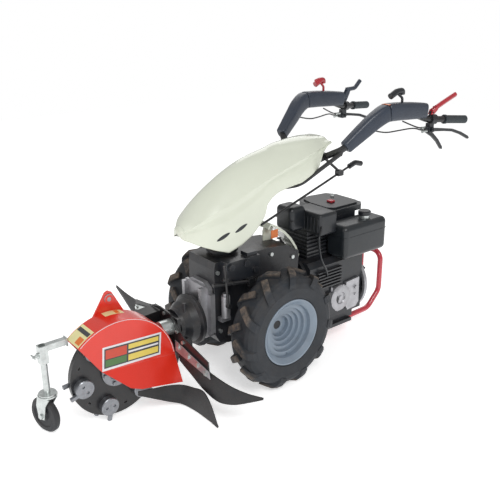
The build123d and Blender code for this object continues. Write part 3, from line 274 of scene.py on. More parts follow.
# ---------------------------------------------------------------- finishes
def node(tree, kind, inputs=(), **settings):
    """A shader node with its settings, and values or links for its numbered or named inputs."""
    made = tree.nodes.new(kind)
    for key, value in settings.items():
        setattr(made, key, value)
    for key, value in dict(inputs).items():
        if isinstance(value, bpy.types.NodeSocket):
            tree.links.new(value, made.inputs[key])
        else:
            made.inputs[key].default_value = value
    return made


def maths(tree, operation, first, second=0.5, clamp=False):
    return node(tree, "ShaderNodeMath", {0: first, 1: second}, operation=operation,
                use_clamp=clamp).outputs[0]


def new_group(name, sockets_in, sockets_out):
    """An empty shader group with named sockets: (name, kind, default) each."""
    group = bpy.data.node_groups.new(name, "ShaderNodeTree")
    for label, kind, default in sockets_in:
        socket = group.interface.new_socket(label, in_out="INPUT", socket_type=kind)
        if default is not None:
            socket.default_value = default
    for label, kind in sockets_out:
        group.interface.new_socket(label, in_out="OUTPUT", socket_type=kind)
    return group, node(group, "NodeGroupInput").outputs, node(group, "NodeGroupOutput").inputs


def grain_group():
    """Fine cast or moulded grain: two noises, one coarse and one seven times finer."""
    group, given, result = new_group(
        "fine grain", [("Scale", "NodeSocketFloat", 300.0), ("Fineness", "NodeSocketFloat", 0.5)],
        [("Height", "NodeSocketFloat"), ("Value", "NodeSocketFloat")])
    place = node(group, "ShaderNodeTexCoord").outputs["Object"]
    coarse = node(group, "ShaderNodeTexNoise", {"Vector": place, "Scale": given["Scale"],
                                                "Detail": 3.0, "Roughness": 0.6})
    finer = maths(group, "MULTIPLY", given["Scale"], 7.0)
    fine = node(group, "ShaderNodeTexNoise", {"Vector": place, "Scale": finer, "Detail": 2.0})
    mixed = node(group, "ShaderNodeMix", {0: given["Fineness"], 2: coarse.outputs[0],
                                          3: fine.outputs[0]}, data_type="FLOAT")
    group.links.new(mixed.outputs[0], result["Height"])
    group.links.new(coarse.outputs[0], result["Value"])
    return group


def tone_group():
    """Slow changes of tone over a surface: the colour is darkened and lightened by noise."""
    group, given, result = new_group(
        "uneven tone", [("Colour", "NodeSocketColor", None), ("Amount", "NodeSocketFloat", 0.1),
                        ("Scale", "NodeSocketFloat", 12.0)], [("Colour", "NodeSocketColor")])
    place = node(group, "ShaderNodeTexCoord").outputs["Object"]
    noise = node(group, "ShaderNodeTexNoise", {"Vector": place, "Scale": given["Scale"],
                                               "Detail": 5.0, "Roughness": 0.6})
    swing = maths(group, "MULTIPLY", maths(group, "SUBTRACT", noise.outputs[0], 0.5), 4.0)
    level = maths(group, "ADD", maths(group, "MULTIPLY", swing, given["Amount"]), 1.0)
    shifted = node(group, "ShaderNodeVectorMath", {0: given["Colour"], "Scale": level},
                   operation="SCALE")
    group.links.new(shifted.outputs[0], result["Colour"])
    return group


def dust_group():
    """Dust that settles on faces that look up, in patches: mask = upward share x patches."""
    group, given, result = new_group(
        "settled dust", [("Colour", "NodeSocketColor", None), ("Dust", "NodeSocketColor", None),
                         ("Amount", "NodeSocketFloat", 0.3), ("Scale", "NodeSocketFloat", 30.0)],
        [("Colour", "NodeSocketColor"), ("Mask", "NodeSocketFloat")])
    coordinates = node(group, "ShaderNodeTexCoord").outputs
    upward = node(group, "ShaderNodeSeparateXYZ", {0: coordinates["Normal"]}).outputs[2]
    share = node(group, "ShaderNodeMapRange", {0: upward, 1: -0.3, 2: 1.0, 3: 0.15, 4: 1.0})
    noise = node(group, "ShaderNodeTexNoise", {"Vector": coordinates["Object"],
                                               "Scale": given["Scale"], "Detail": 6.0,
                                               "Roughness": 0.65})
    patch = node(group, "ShaderNodeMapRange", {0: noise.outputs[0], 1: 0.35, 2: 0.75})
    mask = maths(group, "MULTIPLY", maths(group, "MULTIPLY", share.outputs[0], patch.outputs[0]),
                 given["Amount"], clamp=True)
    mix = node(group, "ShaderNodeMix", {0: mask, 6: given["Colour"], 7: given["Dust"]},
               data_type="RGBA")
    group.links.new(mix.outputs[2], result["Colour"])
    group.links.new(mask, result["Mask"])
    return group


def wear_and_highlight_group():
    """Worn edges and painted edge highlights: where a rounded normal turns away from the face's
    own, a paler colour shows through, broken up by noise; it stands partly for bare metal where the
    paint is worn and partly for a painted highlight along the edges."""
    group, given, result = new_group(
        "edge wear", [("Colour", "NodeSocketColor", None), ("Bare", "NodeSocketColor", None),
                      ("Amount", "NodeSocketFloat", 0.4), ("Scale", "NodeSocketFloat", 60.0)],
        [("Colour", "NodeSocketColor"), ("Mask", "NodeSocketFloat")])
    soft = node(group, "ShaderNodeBevel", {"Radius": 0.0022}, samples=4)
    facing = node(group, "ShaderNodeVectorMath",
                  {0: soft.outputs[0], 1: node(group, "ShaderNodeNewGeometry").outputs["Normal"]},
                  operation="DOT_PRODUCT")
    turn = node(group, "ShaderNodeMapRange", {0: facing.outputs["Value"], 1: 0.995, 2: 0.93})
    place = node(group, "ShaderNodeTexCoord").outputs["Object"]
    noise = node(group, "ShaderNodeTexNoise", {"Vector": place, "Scale": given["Scale"],
                                               "Detail": 4.0})
    broken = node(group, "ShaderNodeMapRange", {0: noise.outputs[0], 1: 0.3, 2: 0.62})
    mask = maths(group, "MULTIPLY", maths(group, "MULTIPLY", turn.outputs[0], broken.outputs[0]),
                 given["Amount"], clamp=True)
    mix = node(group, "ShaderNodeMix", {0: mask, 6: given["Colour"], 7: given["Bare"]},
               data_type="RGBA")
    group.links.new(mix.outputs[2], result["Colour"])
    group.links.new(mask, result["Mask"])
    return group


GROUPS = {}


def shared(tree, name, inputs):
    """One of the shared effects, built on its first use and placed in a material's tree."""
    makers = {"grain": grain_group, "tone": tone_group, "dust": dust_group, "wear": wear_and_highlight_group}
    if name not in GROUPS:
        GROUPS[name] = makers[name]()
    placed = tree.nodes.new("ShaderNodeGroup")
    placed.node_tree = GROUPS[name]
    for key, value in inputs.items():
        if isinstance(value, bpy.types.NodeSocket):
            tree.links.new(value, placed.inputs[key])
        elif isinstance(value, tuple) and len(value) == 3:
            placed.inputs[key].default_value = (*value, 1.0)
        else:
            placed.inputs[key].default_value = value
    return placed.outputs


# Each finish: colour, roughness, metallic, coat, grain (scale, bump depth in metres), tone
# (amount, scale), dust amount and the amount of edge wear with painted edge highlight. A name as
# the colour is a user's colour.
FINISHES = {
    "rim paint": ("rim", 0.38, 0.0, 0.35, (700, 0.00008), (0.10, 14), 0.20, 0.0),
    "tread rubber": ("tread", 0.62, 0.0, 0.0, (420, 0.00025), (0.25, 20), 0.16, 0.0),
    "black casting": ((0.006, 0.008, 0.012), 0.42, 0.0, 0.10, (260, 0.0004), (0.3, 25), 0.20, 0.35),
    "black die casting": ((0.009, 0.012, 0.017), 0.38, 0.0, 0.15, (420, 0.0002), (0.25, 25), 0.14,
                          0.35),
    "bare die casting": ((0.42, 0.42, 0.44), 0.38, 0.75, 0.0, (380, 0.0002), (0.18, 30), 0.12, 0.0),
    "red powder coat": ("hood", 0.30, 0.0, 0.5, (900, 0.00005), (0.05, 9), 0.0, 0.30),
    "black satin": ((0.008, 0.009, 0.011), 0.36, 0.0, 0.2, (600, 0.00008), (0.25, 20), 0.10, 0.30),
    "zinc plate": ((0.56, 0.59, 0.58), 0.30, 0.85, 0.0, (160, 0.00006), (0.20, 45), 0.0, 0.0),
    "tool steel": ((0.26, 0.27, 0.29), 0.36, 0.85, 0.0, (300, 0.0001), (0.22, 60), 0.0, 0.0),
    "sheet rubber": ((0.010, 0.011, 0.013), 0.55, 0.0, 0.0, (260, 0.0003), (0.25, 18), 0.16, 0.0),
    "castor tread": ((0.020, 0.022, 0.026), 0.58, 0.0, 0.0, (420, 0.0002), (0.20, 40), 0.18, 0.0),
    "cream gloss": ("cowl", 0.24, 0.0, 0.6, (1200, 0.00003), (0.025, 6), 0.0, 0.0),
    "arm plastic": ((0.026, 0.036, 0.056), 0.40, 0.0, 0.1, (900, 0.00012), (0.10, 20), 0.08, 0.0),
    "grip rubber": ((0.030, 0.040, 0.046), 0.60, 0.0, 0.0, (700, 0.0001), (0.15, 30), 0.10, 0.0),
    "black plastic": ((0.009, 0.012, 0.016), 0.36, 0.0, 0.1, (900, 0.0001), (0.15, 25), 0.10, 0.0),
    "red plastic": ((0.42, 0.018, 0.030), 0.26, 0.0, 0.4, (900, 0.00004), (0.06, 20), 0.0, 0.0),
    "tank plastic": ((0.010, 0.014, 0.018), 0.34, 0.0, 0.1, (650, 0.0001), (0.15, 12), 0.08, 0.0),
    "bumper paint": ("bumper", 0.26, 0.0, 0.6, (900, 0.00004), (0.08, 12), 0.0, 0.20),
    "label white": ((0.72, 0.72, 0.74), 0.35, 0.0, 0.3, (900, 0.00002), (0.04, 40), 0.0, 0.0),
    "label yellow": ((0.72, 0.56, 0.10), 0.35, 0.0, 0.3, (900, 0.00002), (0.04, 40), 0.0, 0.0),
    "label pale": ((0.78, 0.72, 0.36), 0.35, 0.0, 0.3, (900, 0.00002), (0.04, 40), 0.0, 0.0),
    "label red": ((0.55, 0.05, 0.02), 0.35, 0.0, 0.3, (900, 0.00002), (0.04, 40), 0.0, 0.0),
    "label green": ((0.06, 0.16, 0.04), 0.35, 0.0, 0.3, (900, 0.00002), (0.04, 40), 0.0, 0.0),
    "label orange": ((0.72, 0.17, 0.02), 0.35, 0.0, 0.3, (900, 0.00002), (0.04, 40), 0.0, 0.0),
    "label dark": ((0.04, 0.04, 0.045), 0.35, 0.0, 0.3, (900, 0.00002), (0.04, 40), 0.0, 0.0),
}
SLOT_FINISH = {
    "rim_paint": "rim paint", "tyre_rubber": "tread rubber", "black_casting": "black casting",
    "black_aluminium": "black die casting", "bare_aluminium": "bare die casting",
    "hood_red": "red powder coat", "black_steel": "black satin", "zinc": "zinc plate",
    "tool_steel": "tool steel", "rubber": "sheet rubber", "castor_rubber": "castor tread",
    "cowl_cream": "cream gloss", "arm_plastic": "arm plastic", "grip_rubber": "grip rubber",
    "black_plastic": "black plastic", "red_plastic": "red plastic", "tank_plastic": "tank plastic",
    "bumper_red": "bumper paint",
}


def wheel_soil(tree, colour, soil):
    """Dry soil on the lugs' outer faces: it grows with the distance from the axle line, from
    0.236 m to 0.250 m, and is broken up by noise."""
    place = node(tree, "ShaderNodeTexCoord").outputs["Object"]
    from_axle = node(tree, "ShaderNodeMapping", {"Vector": place, "Location": (0, 0, -0.252),
                                                 "Scale": (1, 0, 1)}).outputs[0]
    reach = node(tree, "ShaderNodeVectorMath", {0: from_axle}, operation="LENGTH")
    outer = node(tree, "ShaderNodeMapRange", {0: reach.outputs["Value"], 1: 0.238, 2: 0.250})
    noise = node(tree, "ShaderNodeTexNoise", {"Vector": place, "Scale": 38.0, "Detail": 7.0,
                                              "Roughness": 0.7})
    patch = node(tree, "ShaderNodeMapRange", {0: noise.outputs[0], 1: 0.36, 2: 0.66})
    mask = maths(tree, "MULTIPLY", maths(tree, "MULTIPLY", outer.outputs[0], patch.outputs[0]),
                 0.75, clamp=True)
    return node(tree, "ShaderNodeMix", {0: mask, 6: colour, 7: (*soil, 1.0)},
                data_type="RGBA").outputs[2]


def finish(name):
    """The material of that name, built on its first use from its line in FINISHES."""
    if name in bpy.data.materials:
        return bpy.data.materials[name]
    colours = bpy.context.scene.tractor_colours
    colour, rough, metallic, coat, grain, tone, dust, wear = FINISHES[name]
    colour = tuple(getattr(colours, colour)) if isinstance(colour, str) else colour
    soil = tuple(colours.soil)
    material = bpy.data.materials.new(name)
    material.use_nodes = True
    material.diffuse_color = (*colour, 1.0)
    tree = material.node_tree
    shader = tree.nodes["Principled BSDF"]
    shader.inputs["Metallic"].default_value = metallic
    shader.inputs["Coat Weight"].default_value = coat
    shader.inputs["Coat Roughness"].default_value = 0.12
    painted = shared(tree, "tone", {"Colour": colour, "Amount": tone[0],
                                    "Scale": float(tone[1])})["Colour"]
    # edge wear and painted highlight: edges are lightened towards a paler colour, partly bare metal
    # where the paint wears, partly a painted highlight
    if wear:
        bare_and_highlight = tuple(min(1.0, 0.30 + 0.7 * c) for c in colour)
        painted = shared(tree, "wear", {"Colour": painted, "Bare": bare_and_highlight, "Amount": wear,
                                        "Scale": 70.0})["Colour"]
    if dust:
        painted = shared(tree, "dust", {"Colour": painted, "Dust": soil, "Amount": dust,
                                        "Scale": 26.0})["Colour"]
    if name == "tread rubber":
        painted = wheel_soil(tree, painted, soil)
    tree.links.new(painted, shader.inputs["Base Color"])
    height = shared(tree, "grain", {"Scale": float(grain[0]), "Fineness": 0.4})
    spread = node(tree, "ShaderNodeMapRange", {0: height["Value"], 1: 0.25, 2: 0.75,
                                               3: rough * 0.85, 4: min(1.0, rough * 1.2)})
    tree.links.new(spread.outputs[0], shader.inputs["Roughness"])
    bump = node(tree, "ShaderNodeBump", {"Height": height["Height"], "Distance": grain[1],
                                         "Strength": 1.0})
    tree.links.new(bump.outputs[0], shader.inputs["Normal"])
    return material


# ---------------------------------------------------------------- the cowl's skin
# the cowl's vent openings are painted shade: dark patches laid just off the skin
VENT_SHADE_LIFT = 0.5  # how far a slot's dark patch stands off the cowl, in millimetres
# Stations along the cowl: x, crest height, crease height, half widths at crease and side.
COWL = vec((-330, 706, 690, 34, 40), (-300, 735, 712, 62, 70), (-250, 790, 742, 82, 92),
           (-160, 856, 776, 95, 106), (-40, 915, 822, 100, 108), (80, 946, 862, 101, 108),
           (200, 962, 896, 99, 106), (310, 969, 928, 96, 102), (388, 962, 940, 90, 98))
COWL_EDGE = vec((-345, 672), (-330, 652), (-290, 632), (-230, 606), (-172, 586), (-110, 606),
                (-56, 634), (-10, 676), (12, 706), (24, 748), (50, 772), (84, 788), (140, 799),
                (208, 806), (262, 828), (312, 856), (336, 912), (362, 938), (396, 950))


def cowl_point(x, s, lift=0.0):
    """The cowl's skin at a distance x along it and s across it, -1 and 1 being its two lower
    edges, 0 its crest and +-0.5 its creases. From the crest the height falls by the 1.8th power
    of the way to the crease; below the crease the side swells out by a power curve and drops
    straight to the lower edge. A drop-shaped pad rises on the crown behind x = 96. A lift moves
    the point out from the tractor's middle line."""
    x, s = np.broadcast_arrays(np.asarray(x, float), np.asarray(s, float))
    rows = through(COWL[:, 0], COWL[:, 1:], x.ravel())
    crest, crease, half_crease, half_side = rows.T.reshape((4,) + x.shape)
    low = np.interp(x, *COWL_EDGE.T)
    crease = np.maximum(crease, low + 4)
    top = np.clip(np.abs(s) * 2, 0, 1)
    down = np.clip(np.abs(s) * 2 - 1, 0, 1)
    half_side = half_side + 5 * np.exp(-((x - 250) / 90) ** 2)
    reach = 0.62 * np.sqrt(np.clip((x - 96) / 170, 0, 1))
    pad = 7.5 * np.clip((x - 96) / 60, 0, 1) / (1 + np.exp((top - reach) * 26))
    z = crest - (crest - crease) * top ** 1.8 - (crease - low) * down + pad
    y = half_crease * top ** 0.93 + (half_side - half_crease) * (1 - (1 - down) ** 2.4)
    y = y - 4.0 * np.sin(np.pi * np.clip(down / 0.3, 0, 1)) ** 2
    side = np.where(s < 0, -1.0, 1.0)
    out = np.stack([np.zeros_like(x), side * (top ** 2 * 0.6 + down), 1.05 - top * 0.9], -1)
    return np.stack([x, side * y, z], -1) + lift * unit(out)


def sheet(grid, depth):
    """A grid of points and the same grid moved by the depth vector, closed along its edges."""
    rows, cols = grid.shape[:2]
    under = grid + np.asarray(depth, float)
    points = np.vstack([grid.reshape(-1, 3), under.reshape(-1, 3)])
    quads = grid_faces(rows, cols)
    n = rows * cols
    rim = np.concatenate([np.arange(cols), np.arange(1, rows) * cols + cols - 1,
                          (rows - 1) * cols + np.arange(cols - 1)[::-1],
                          np.arange(1, rows - 1)[::-1] * cols])
    after = np.roll(rim, -1)
    walls = np.stack([rim, rim + n, after + n, after], -1)
    return points, quads.tolist() + (quads[:, ::-1] + n).tolist() + walls.tolist()


class TRACTOR_OT_cowl(bpy.types.Operator):
    """Smooth cream cowl with its creases, crown pad, and flat dark patches of painted shade where
    its vents are
    """
    bl_idname = "tractor.cowl"
    bl_label = "Cowl"

    def execute(self, context):
        x = np.linspace(-330, 392, 150)
        s = np.concatenate([np.linspace(-1, -0.5, 28), np.linspace(-0.5, 0.5, 41)[1:-1],
                            np.linspace(0.5, 1, 28)])
        skin = cowl_point(x[:, None], s[None])
        # the nose closes in by a quarter circle
        turn = np.linspace(0.03, np.pi / 2, 12)[:-1]
        tip = vec(-345, 0, 676)
        share = np.stack([1 - np.cos(turn), np.sin(turn), np.sin(turn)], -1)[:, None]
        nose = tip + (skin[0] - tip) * share
        grid = np.concatenate([nose, skin])
        shell = grid_faces(*grid.shape[:2])
        made = piece("cowl_skin", (grid.reshape(-1, 3), shell.tolist()), "handlebars",
                     "cream gloss", replaces=("cowl",), sharp=30)
        if sum(f.normal.z * f.area for f in made.data.polygons) < 0:
            made.data.flip_normals()
        wall = made.modifiers.new("wall", "SOLIDIFY")
        wall.thickness, wall.offset, wall.use_even_offset = 0.003, -1.0, False
        # painted shade: flat dark patches on both sides where the vent openings are, leaning like
        # leaves
        for number, (u, v) in enumerate(((-196, 656), (-112, 676))):
            for side, label in ((-1, "left"), (1, "right")):
                a = np.linspace(0, 1, 12)[:, None]
                b = np.linspace(-1, 1, 7)[None]
                px = u - 31 + 62 * a + 0 * b
                pz = v - 12 + 24 * a + 8 * b * np.sin(np.pi * a) ** 0.6
                crease = np.interp(px, COWL[:, 0], COWL[:, 2])
                low = np.interp(px, *COWL_EDGE.T)
                across = side * (0.5 + 0.5 * (crease - pz) / (crease - low))
                patch = cowl_point(px, across, VENT_SHADE_LIFT)
                # the black plastic finish here paints the shade inside the vent openings
                piece(f"cowl_slot_{label}_{number}", sheet(patch, (0, -side * 0.8, 0)),
                      "handlebars", "black plastic")
        return {"FINISHED"}


# ---------------------------------------------------------------- labels on the grinding head
DRUM_X, DRUM_Z = -650, 178  # the drum's middle line, in millimetres


class TRACTOR_OT_labels(bpy.types.Operator):
    """Plain labels with coloured bands on the grinding head, without lettering"""
    bl_idname = "tractor.labels"
    bl_label = "Labels"

    def execute(self, context):
        thick = context.scene.tractor_sizes.label_thickness / MM
        corners = vec((-720, 330), (-469, 314), (-478, 220), (-729, 234))

        def place(a, b):
            """A point a along and b down the label's four-sided outline."""
            top = corners[0] + (corners[1] - corners[0]) * a
            base = corners[3] + (corners[2] - corners[3]) * a
            return top + (base - top) * b

        def patch(name, a0, a1, b0, b1, finish_name, layer):
            outline = [place(a0, b0), place(a1, b0), place(a1, b1), place(a0, b1)]
            low = -50.05 - thick * layer
            piece(name, slab(outline, low - thick, low), "chassis", finish_name)

        patch("label_plate", 0, 1, 0, 1, "label white", 0)
        patch("label_field", 0.03, 0.97, 0.08, 0.90, "label dark", 1)
        patch("label_head", 0.05, 0.40, 0.14, 0.52, "label red", 2)
        patch("label_middle", 0.05, 0.40, 0.56, 0.84, "label green", 2)
        patch("label_tail", 0.43, 0.95, 0.14, 0.34, "label yellow", 2)
        patch("label_line", 0.43, 0.95, 0.42, 0.50, "label white", 2)
        patch("label_foot", 0.43, 0.95, 0.58, 0.84, "label yellow", 2)

        def on_drum(reach, t, y):
            """Points of the drum's round skin at a reach from its middle line."""
            return np.stack([DRUM_X + reach * np.cos(t) + 0 * y, y + 0 * t,
                             DRUM_Z + reach * np.sin(t) + 0 * y], -1)

        # name, angles in degrees, sideways places, layer above the skin, finish
        for name, t0, t1, y0, y1, layer, kind in (
                ("front_label", 113, 132, -44, 46, 1, "label pale"),
                ("front_label_band", 116, 120, -40, 42, 2, "label dark"),
                ("front_label_low", 123, 130, -38, -4, 2, "label orange"),
                ("top_label", 75, 94, 12, 47, 1, "label pale"),
                ("top_label_band", 79, 83, 15, 44, 2, "label orange")):
            t = np.radians(np.linspace(t0, t1, 24))[:, None]
            y = np.linspace(y0, y1, 5)[None]
            reach = 240.05 + thick * layer
            points, faces = sheet(on_drum(reach, t, y), (0, 0, 0))
            points[len(points) // 2:] = on_drum(reach - thick, t, y).reshape(-1, 3)
            piece(name, (points, faces), "chassis", kind)
        # painted highlight: a pale line along the side sheet's rim edge, and the round boss on the
        # lug
        ring_t = np.radians(np.linspace(8, 131, 70))
        path = on_drum(236, ring_t, -50.4)
        # the white label finish paints the rim's highlight here
        piece("edge_line", carried(path, circle(1.1, 8), up=(0, 1.0, 0)), "chassis",
              "label white")
        boss = turned([(0, 19), (3, 19), (4, 17), (4, 12), (2.6, 10)], vec(-629, 49.9, 468),
                      (0, -1, 0), 40, closed=False)
        piece("lug_boss", boss, "chassis", "bare die casting")
        return {"FINISHED"}


# ---------------------------------------------------------------- handlebars
ARM = vec((367, 198, 946, 50, 46), (450, 222, 1012, 64, 54), (502, 238, 1052, 70, 58),
          (548, 247, 1074, 74, 60), (600, 248.5, 1075, 74, 60), (700, 249.4, 1069, 72, 58),
          (800, 250, 1060, 66, 54))


def superellipse(width, height, power=3.2, count=40):
    """Closed outline |a / half width|^power + |b / half height|^power = 1."""
    t = np.linspace(0, 2 * np.pi, count, endpoint=False)
    c, s = np.cos(t), np.sin(t)
    return np.stack([np.sign(c) * np.abs(c) ** (2 / power) * width / 2,
                     np.sign(s) * np.abs(s) ** (2 / power) * height / 2], -1)


def arm_part(start, stop, grow=0.0):
    """One arm cover between two shares of its spine, its section a superellipse."""
    spine = np.linspace(start, stop, 60)
    s = np.concatenate([[0], np.cumsum(np.linalg.norm(np.diff(ARM[:, :3], axis=0), axis=1))])
    rows = through(s, ARM, spine * s[-1])
    outline = superellipse(1, 1, 4.0)
    scale = np.stack([rows[:, 4] + grow, rows[:, 3] + grow], -1)
    ends = np.minimum(1, np.minimum(spine - spine[0], spine[-1] - spine) * s[-1] / 5)
    scale *= (0.90 + 0.10 * np.sqrt(1 - (1 - ends) ** 2))[:, None]
    return carried(rows[:, :3], outline, scale=scale)


class TRACTOR_OT_handlebars(bpy.types.Operator):
    """Rounded arm covers with their joint lines, knobs, ribbed grips and cable ends"""
    bl_idname = "tractor.handlebars"
    bl_label = "Handlebars"

    def execute(self, context):
        cover = joined([arm_part(0, 0.485), arm_part(0.49, 1.0, 0.6)])
        piece("arm_covers", joined([cover, mirrored(cover)]), "handlebars",
              "arm plastic", replaces=("handle_arms",), sharp=50)
        # orange patch on the left arm's top
        a, b = np.linspace(540, 584, 14)[:, None], np.linspace(-20, 20, 7)[None]
        top = np.stack([a + 0 * b, -248 + b + 0 * a, 1113.2 - np.abs(a - 590) * 0.02 + 0 * b
                        - (b / 20) ** 4 * 1.4], -1)
        piece("arm_label", sheet(top, (0, 0, -1.0)), "handlebars", "label orange")
        # ribbed rubber grips with a round end
        ribs = context.scene.tractor_sizes.grip_ribs
        end, run = vec(1043.2, 297.8, 1001.2), unit(vec(231.2, 39.8, -20.8))
        s = np.linspace(0, 138, 260)
        swell = 17.2 + 0.9 * np.maximum(0, np.sin(s / 138 * 2 * np.pi * ribs)) ** 0.5
        swell = np.where(s < 10, 20.5, swell)
        swell = swell * np.sqrt(np.clip((138.5 - s) / 7, 0.02, 1))
        profile = np.stack([s, swell], -1)
        bore = vec((0, 14.05))
        grip = turned(np.vstack([bore, profile]), end - run * 132, run, 36, closed=False)
        piece("grip_rubbers", joined([grip, mirrored(grip)]), "handlebars",
              "grip rubber", replaces=("grips",), sharp=40)
        # silver cable adjusters in front of the lever pivots
        nuts = []
        for sideways, lift in ((-4, 972), (4, 986)):
            at = vec(801.9, -264.2 + sideways, lift)
            nuts += [turned([(0, 5.5), (14, 5.5), (14, 4.2), (24, 4.2), (24, 6.4), (32, 6.4)],
                            at + vec(6, 0, 0), (-1, 0, 0), 18, closed=False)]
        nut = joined(nuts)
        piece("cable_adjusters", joined([nut, mirrored(nut)]), "handlebars", "zinc plate")
        # round knobs over the two knob levers, and the red safety lever's handle
        for hand, side, x, slot_name, kind in (
                ("left", -1, 648, "black_plastic", "black plastic"),
                ("right", 1, 676, "red_plastic", "red plastic")):
            y = side * 249
            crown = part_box(f"knob_lever_{hand}")[1][2] / MM
            head = line_through([(x, y, crown - 26), (x - 4, y, crown - 12),
                                 (x - 22, y, crown - 10), (x - 52, y, crown - 13)], 24)
            wide = 15 + 5 * np.sin(np.linspace(0.2, np.pi - 0.1, 24))
            piece(f"knob_head_{hand}", carried(head, circle(0.62, 20), up=(0, 1.0, 0),
                                               scale=np.stack([wide, wide], -1)),
                  f"knob_{hand}", kind)
        handle = carried(line_through([(866, -264.2, 1068), (920, -264.2, 1087),
                                       (1001, -264.2, 1113.6)], 30),
                         superellipse(22, 15, 2.6, 24), up=(0, 1.0, 0))
        piece("safety_handle", handle, "safety", "red plastic")
        return {"FINISHED"}


class TRACTOR_OT_cables(bpy.types.Operator):
    """The four stiff control cables as curves that end on the frame"""
    bl_idname = "tractor.cables"
    bl_label = "Cables"

    def execute(self, context):
        ly = -264.18
        routes = (((801.9, ly - 4, 978), (769.9, ly - 4, 978), (730, -258, 994), (640, -238, 988),
                   (566, -230, 986), (508, -231, 1003)),
                  ((801.9, ly + 4, 986), (773.9, ly + 4, 986), (726, -252, 1002),
                   (672, -240, 1026)))
        for side, hand in ((1, "left"), (-1, "right")):
            for number, route in enumerate(routes):
                curve = bpy.data.curves.new(f"cable_{hand}_{number}", "CURVE")
                curve.dimensions = "3D"
                curve.bevel_depth, curve.bevel_resolution, curve.resolution_u = 0.0032, 4, 16
                spline = curve.splines.new("NURBS")
                spline.points.add(len(route) - 1)
                flat = [c for px, py, pz in route for c in (px * MM, side * py * MM, pz * MM, 1.0)]
                spline.points.foreach_set("co", flat)
                spline.order_u, spline.use_endpoint_u = 3, True
                curve.use_fill_caps = True
                made = bpy.data.objects.new(f"cable_{hand}_{number}", curve)
                context.scene.collection.objects.link(made)
                curve.materials.append(finish("black satin"))
                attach(made, "handlebars")
                if number == 0 and hand == "left":
                    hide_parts("control_cables")
        return {"FINISHED"}


# ---------------------------------------------------------------- engine
class TRACTOR_OT_engine(bpy.types.Operator):
    """Rounded muffler, tank, covers and the cables and fittings around the engine"""
    bl_idname = "tractor.engine"
    bl_label = "Engine"

    def execute(self, context):
        can = [rounded_box((210, -46, 566), (302, 62, 677), 22, 6),
               rounded_box((292, -140, 554), (400, 40, 653.6), 14, 5)]
        louvres = [rounded_box((288.4, -130 + 21 * k, 572), (294, -123 + 21 * k, 634), 2.4, 2)
                   for k in range(8)]
        seams = [rounded_box((211, -47, 618), (300, 63, 621), 1.4, 2)]
        piece("muffler_shell", joined(can + louvres + seams), "chassis",
              "black plastic", replaces=("muffler_box",), sharp=40)
        low, high = vec(402, -188, 430), vec(680, -66, 586)
        seam = superellipse(281, 125, 9, 96) + ((low + high) / 2)[:2]
        tank = [rounded_box(low, high, 24, 8), slab(seam, 531, 535, 2)]
        piece("tank_shell", joined(tank), "chassis", "tank plastic",
              replaces=("fuel_tank",), sharp=45)
        piece("tank_neck", turned([(0, 18.2), (0, 25), (15, 25), (15, 18.2)], vec(580, -134, 584.5),
                                  (0, 0, 1), 36), "chassis", "zinc plate")
        piece("top_fittings", rounded_box((520, 20, 629.6), (548, 52, 640), 4, 3), "chassis",
              "red plastic")
        stud = turned([(0, 9), (8, 9), (10, 7)], vec(600, 90, 629.4), (0, 0, 1), 20, closed=False)
        spots = ((470, 0, 621.6), (470, 120, 621.6), (630, 0, 621.6), (630, 120, 629.6),
                 (560, 150, 621.6))
        bolts = [b for spot in spots for b in washer_bolt(spot, (0, 0, 1), 6)]
        piece("cover_bolts", joined(bolts + [stud]), "chassis", "zinc plate")
        # throttle cable, the crankcase cover and its bolts
        black = carried(line_through([(300, -142, 600), (262, -168, 560), (270, -172, 480),
                                      (320, -160, 400), (360, -128, 352)], 60), circle(4.4, 14))
        piece("engine_lead", black, "chassis", "black plastic")
        cover = [turned([(0, 66), (12, 64), (17, 56), (17, 30), (11, 26), (11, 12), (16, 10)],
                        vec(448, -117.8, 222), (0, -1, 0), 56, closed=False)]
        cover += [rounded_box((436 + 46 * k, -128, 156 - 4 * k), (446 + 46 * k, -116, 288), 4, 2)
                  for k in (-1, 2)]
        turn = np.radians(np.arange(0, 360, 60) + 15)
        cover += [b for a in turn for b in washer_bolt(
            (448 + 58 * np.cos(a), -130.5, 222 + 58 * np.sin(a)), (0, -1, 0), 5)]
        piece("crankcase_cover", joined(cover), "chassis",
              "bare die casting", sharp=40)
        sticker = slab(vec((112, 560), (150, 560), (150, 596), (112, 596)), -28.4, -26.1)
        piece("guard_label", sticker, "chassis", "label orange")
        # recoil face with slots and a ring
        crank = vec(656.6, 0, 238)
        rays = [carried(np.stack([656.4 + 0 * r, np.cos(a) * r, 238 + np.sin(a) * r], -1),
                        circle(2.6, 8), up=(1.0, 0, 0))
                for a in np.radians(np.arange(0, 360, 24)) for r in [np.linspace(30, 56, 4)]]
        piece("starter_rays", joined(rays + [turned([(0, 0.1), (0, 22), (3, 20), (3, 0.1)], crank,
                                                    (1, 0, 0), 32)]),
              "chassis", "black die casting")
        return {"FINISHED"}


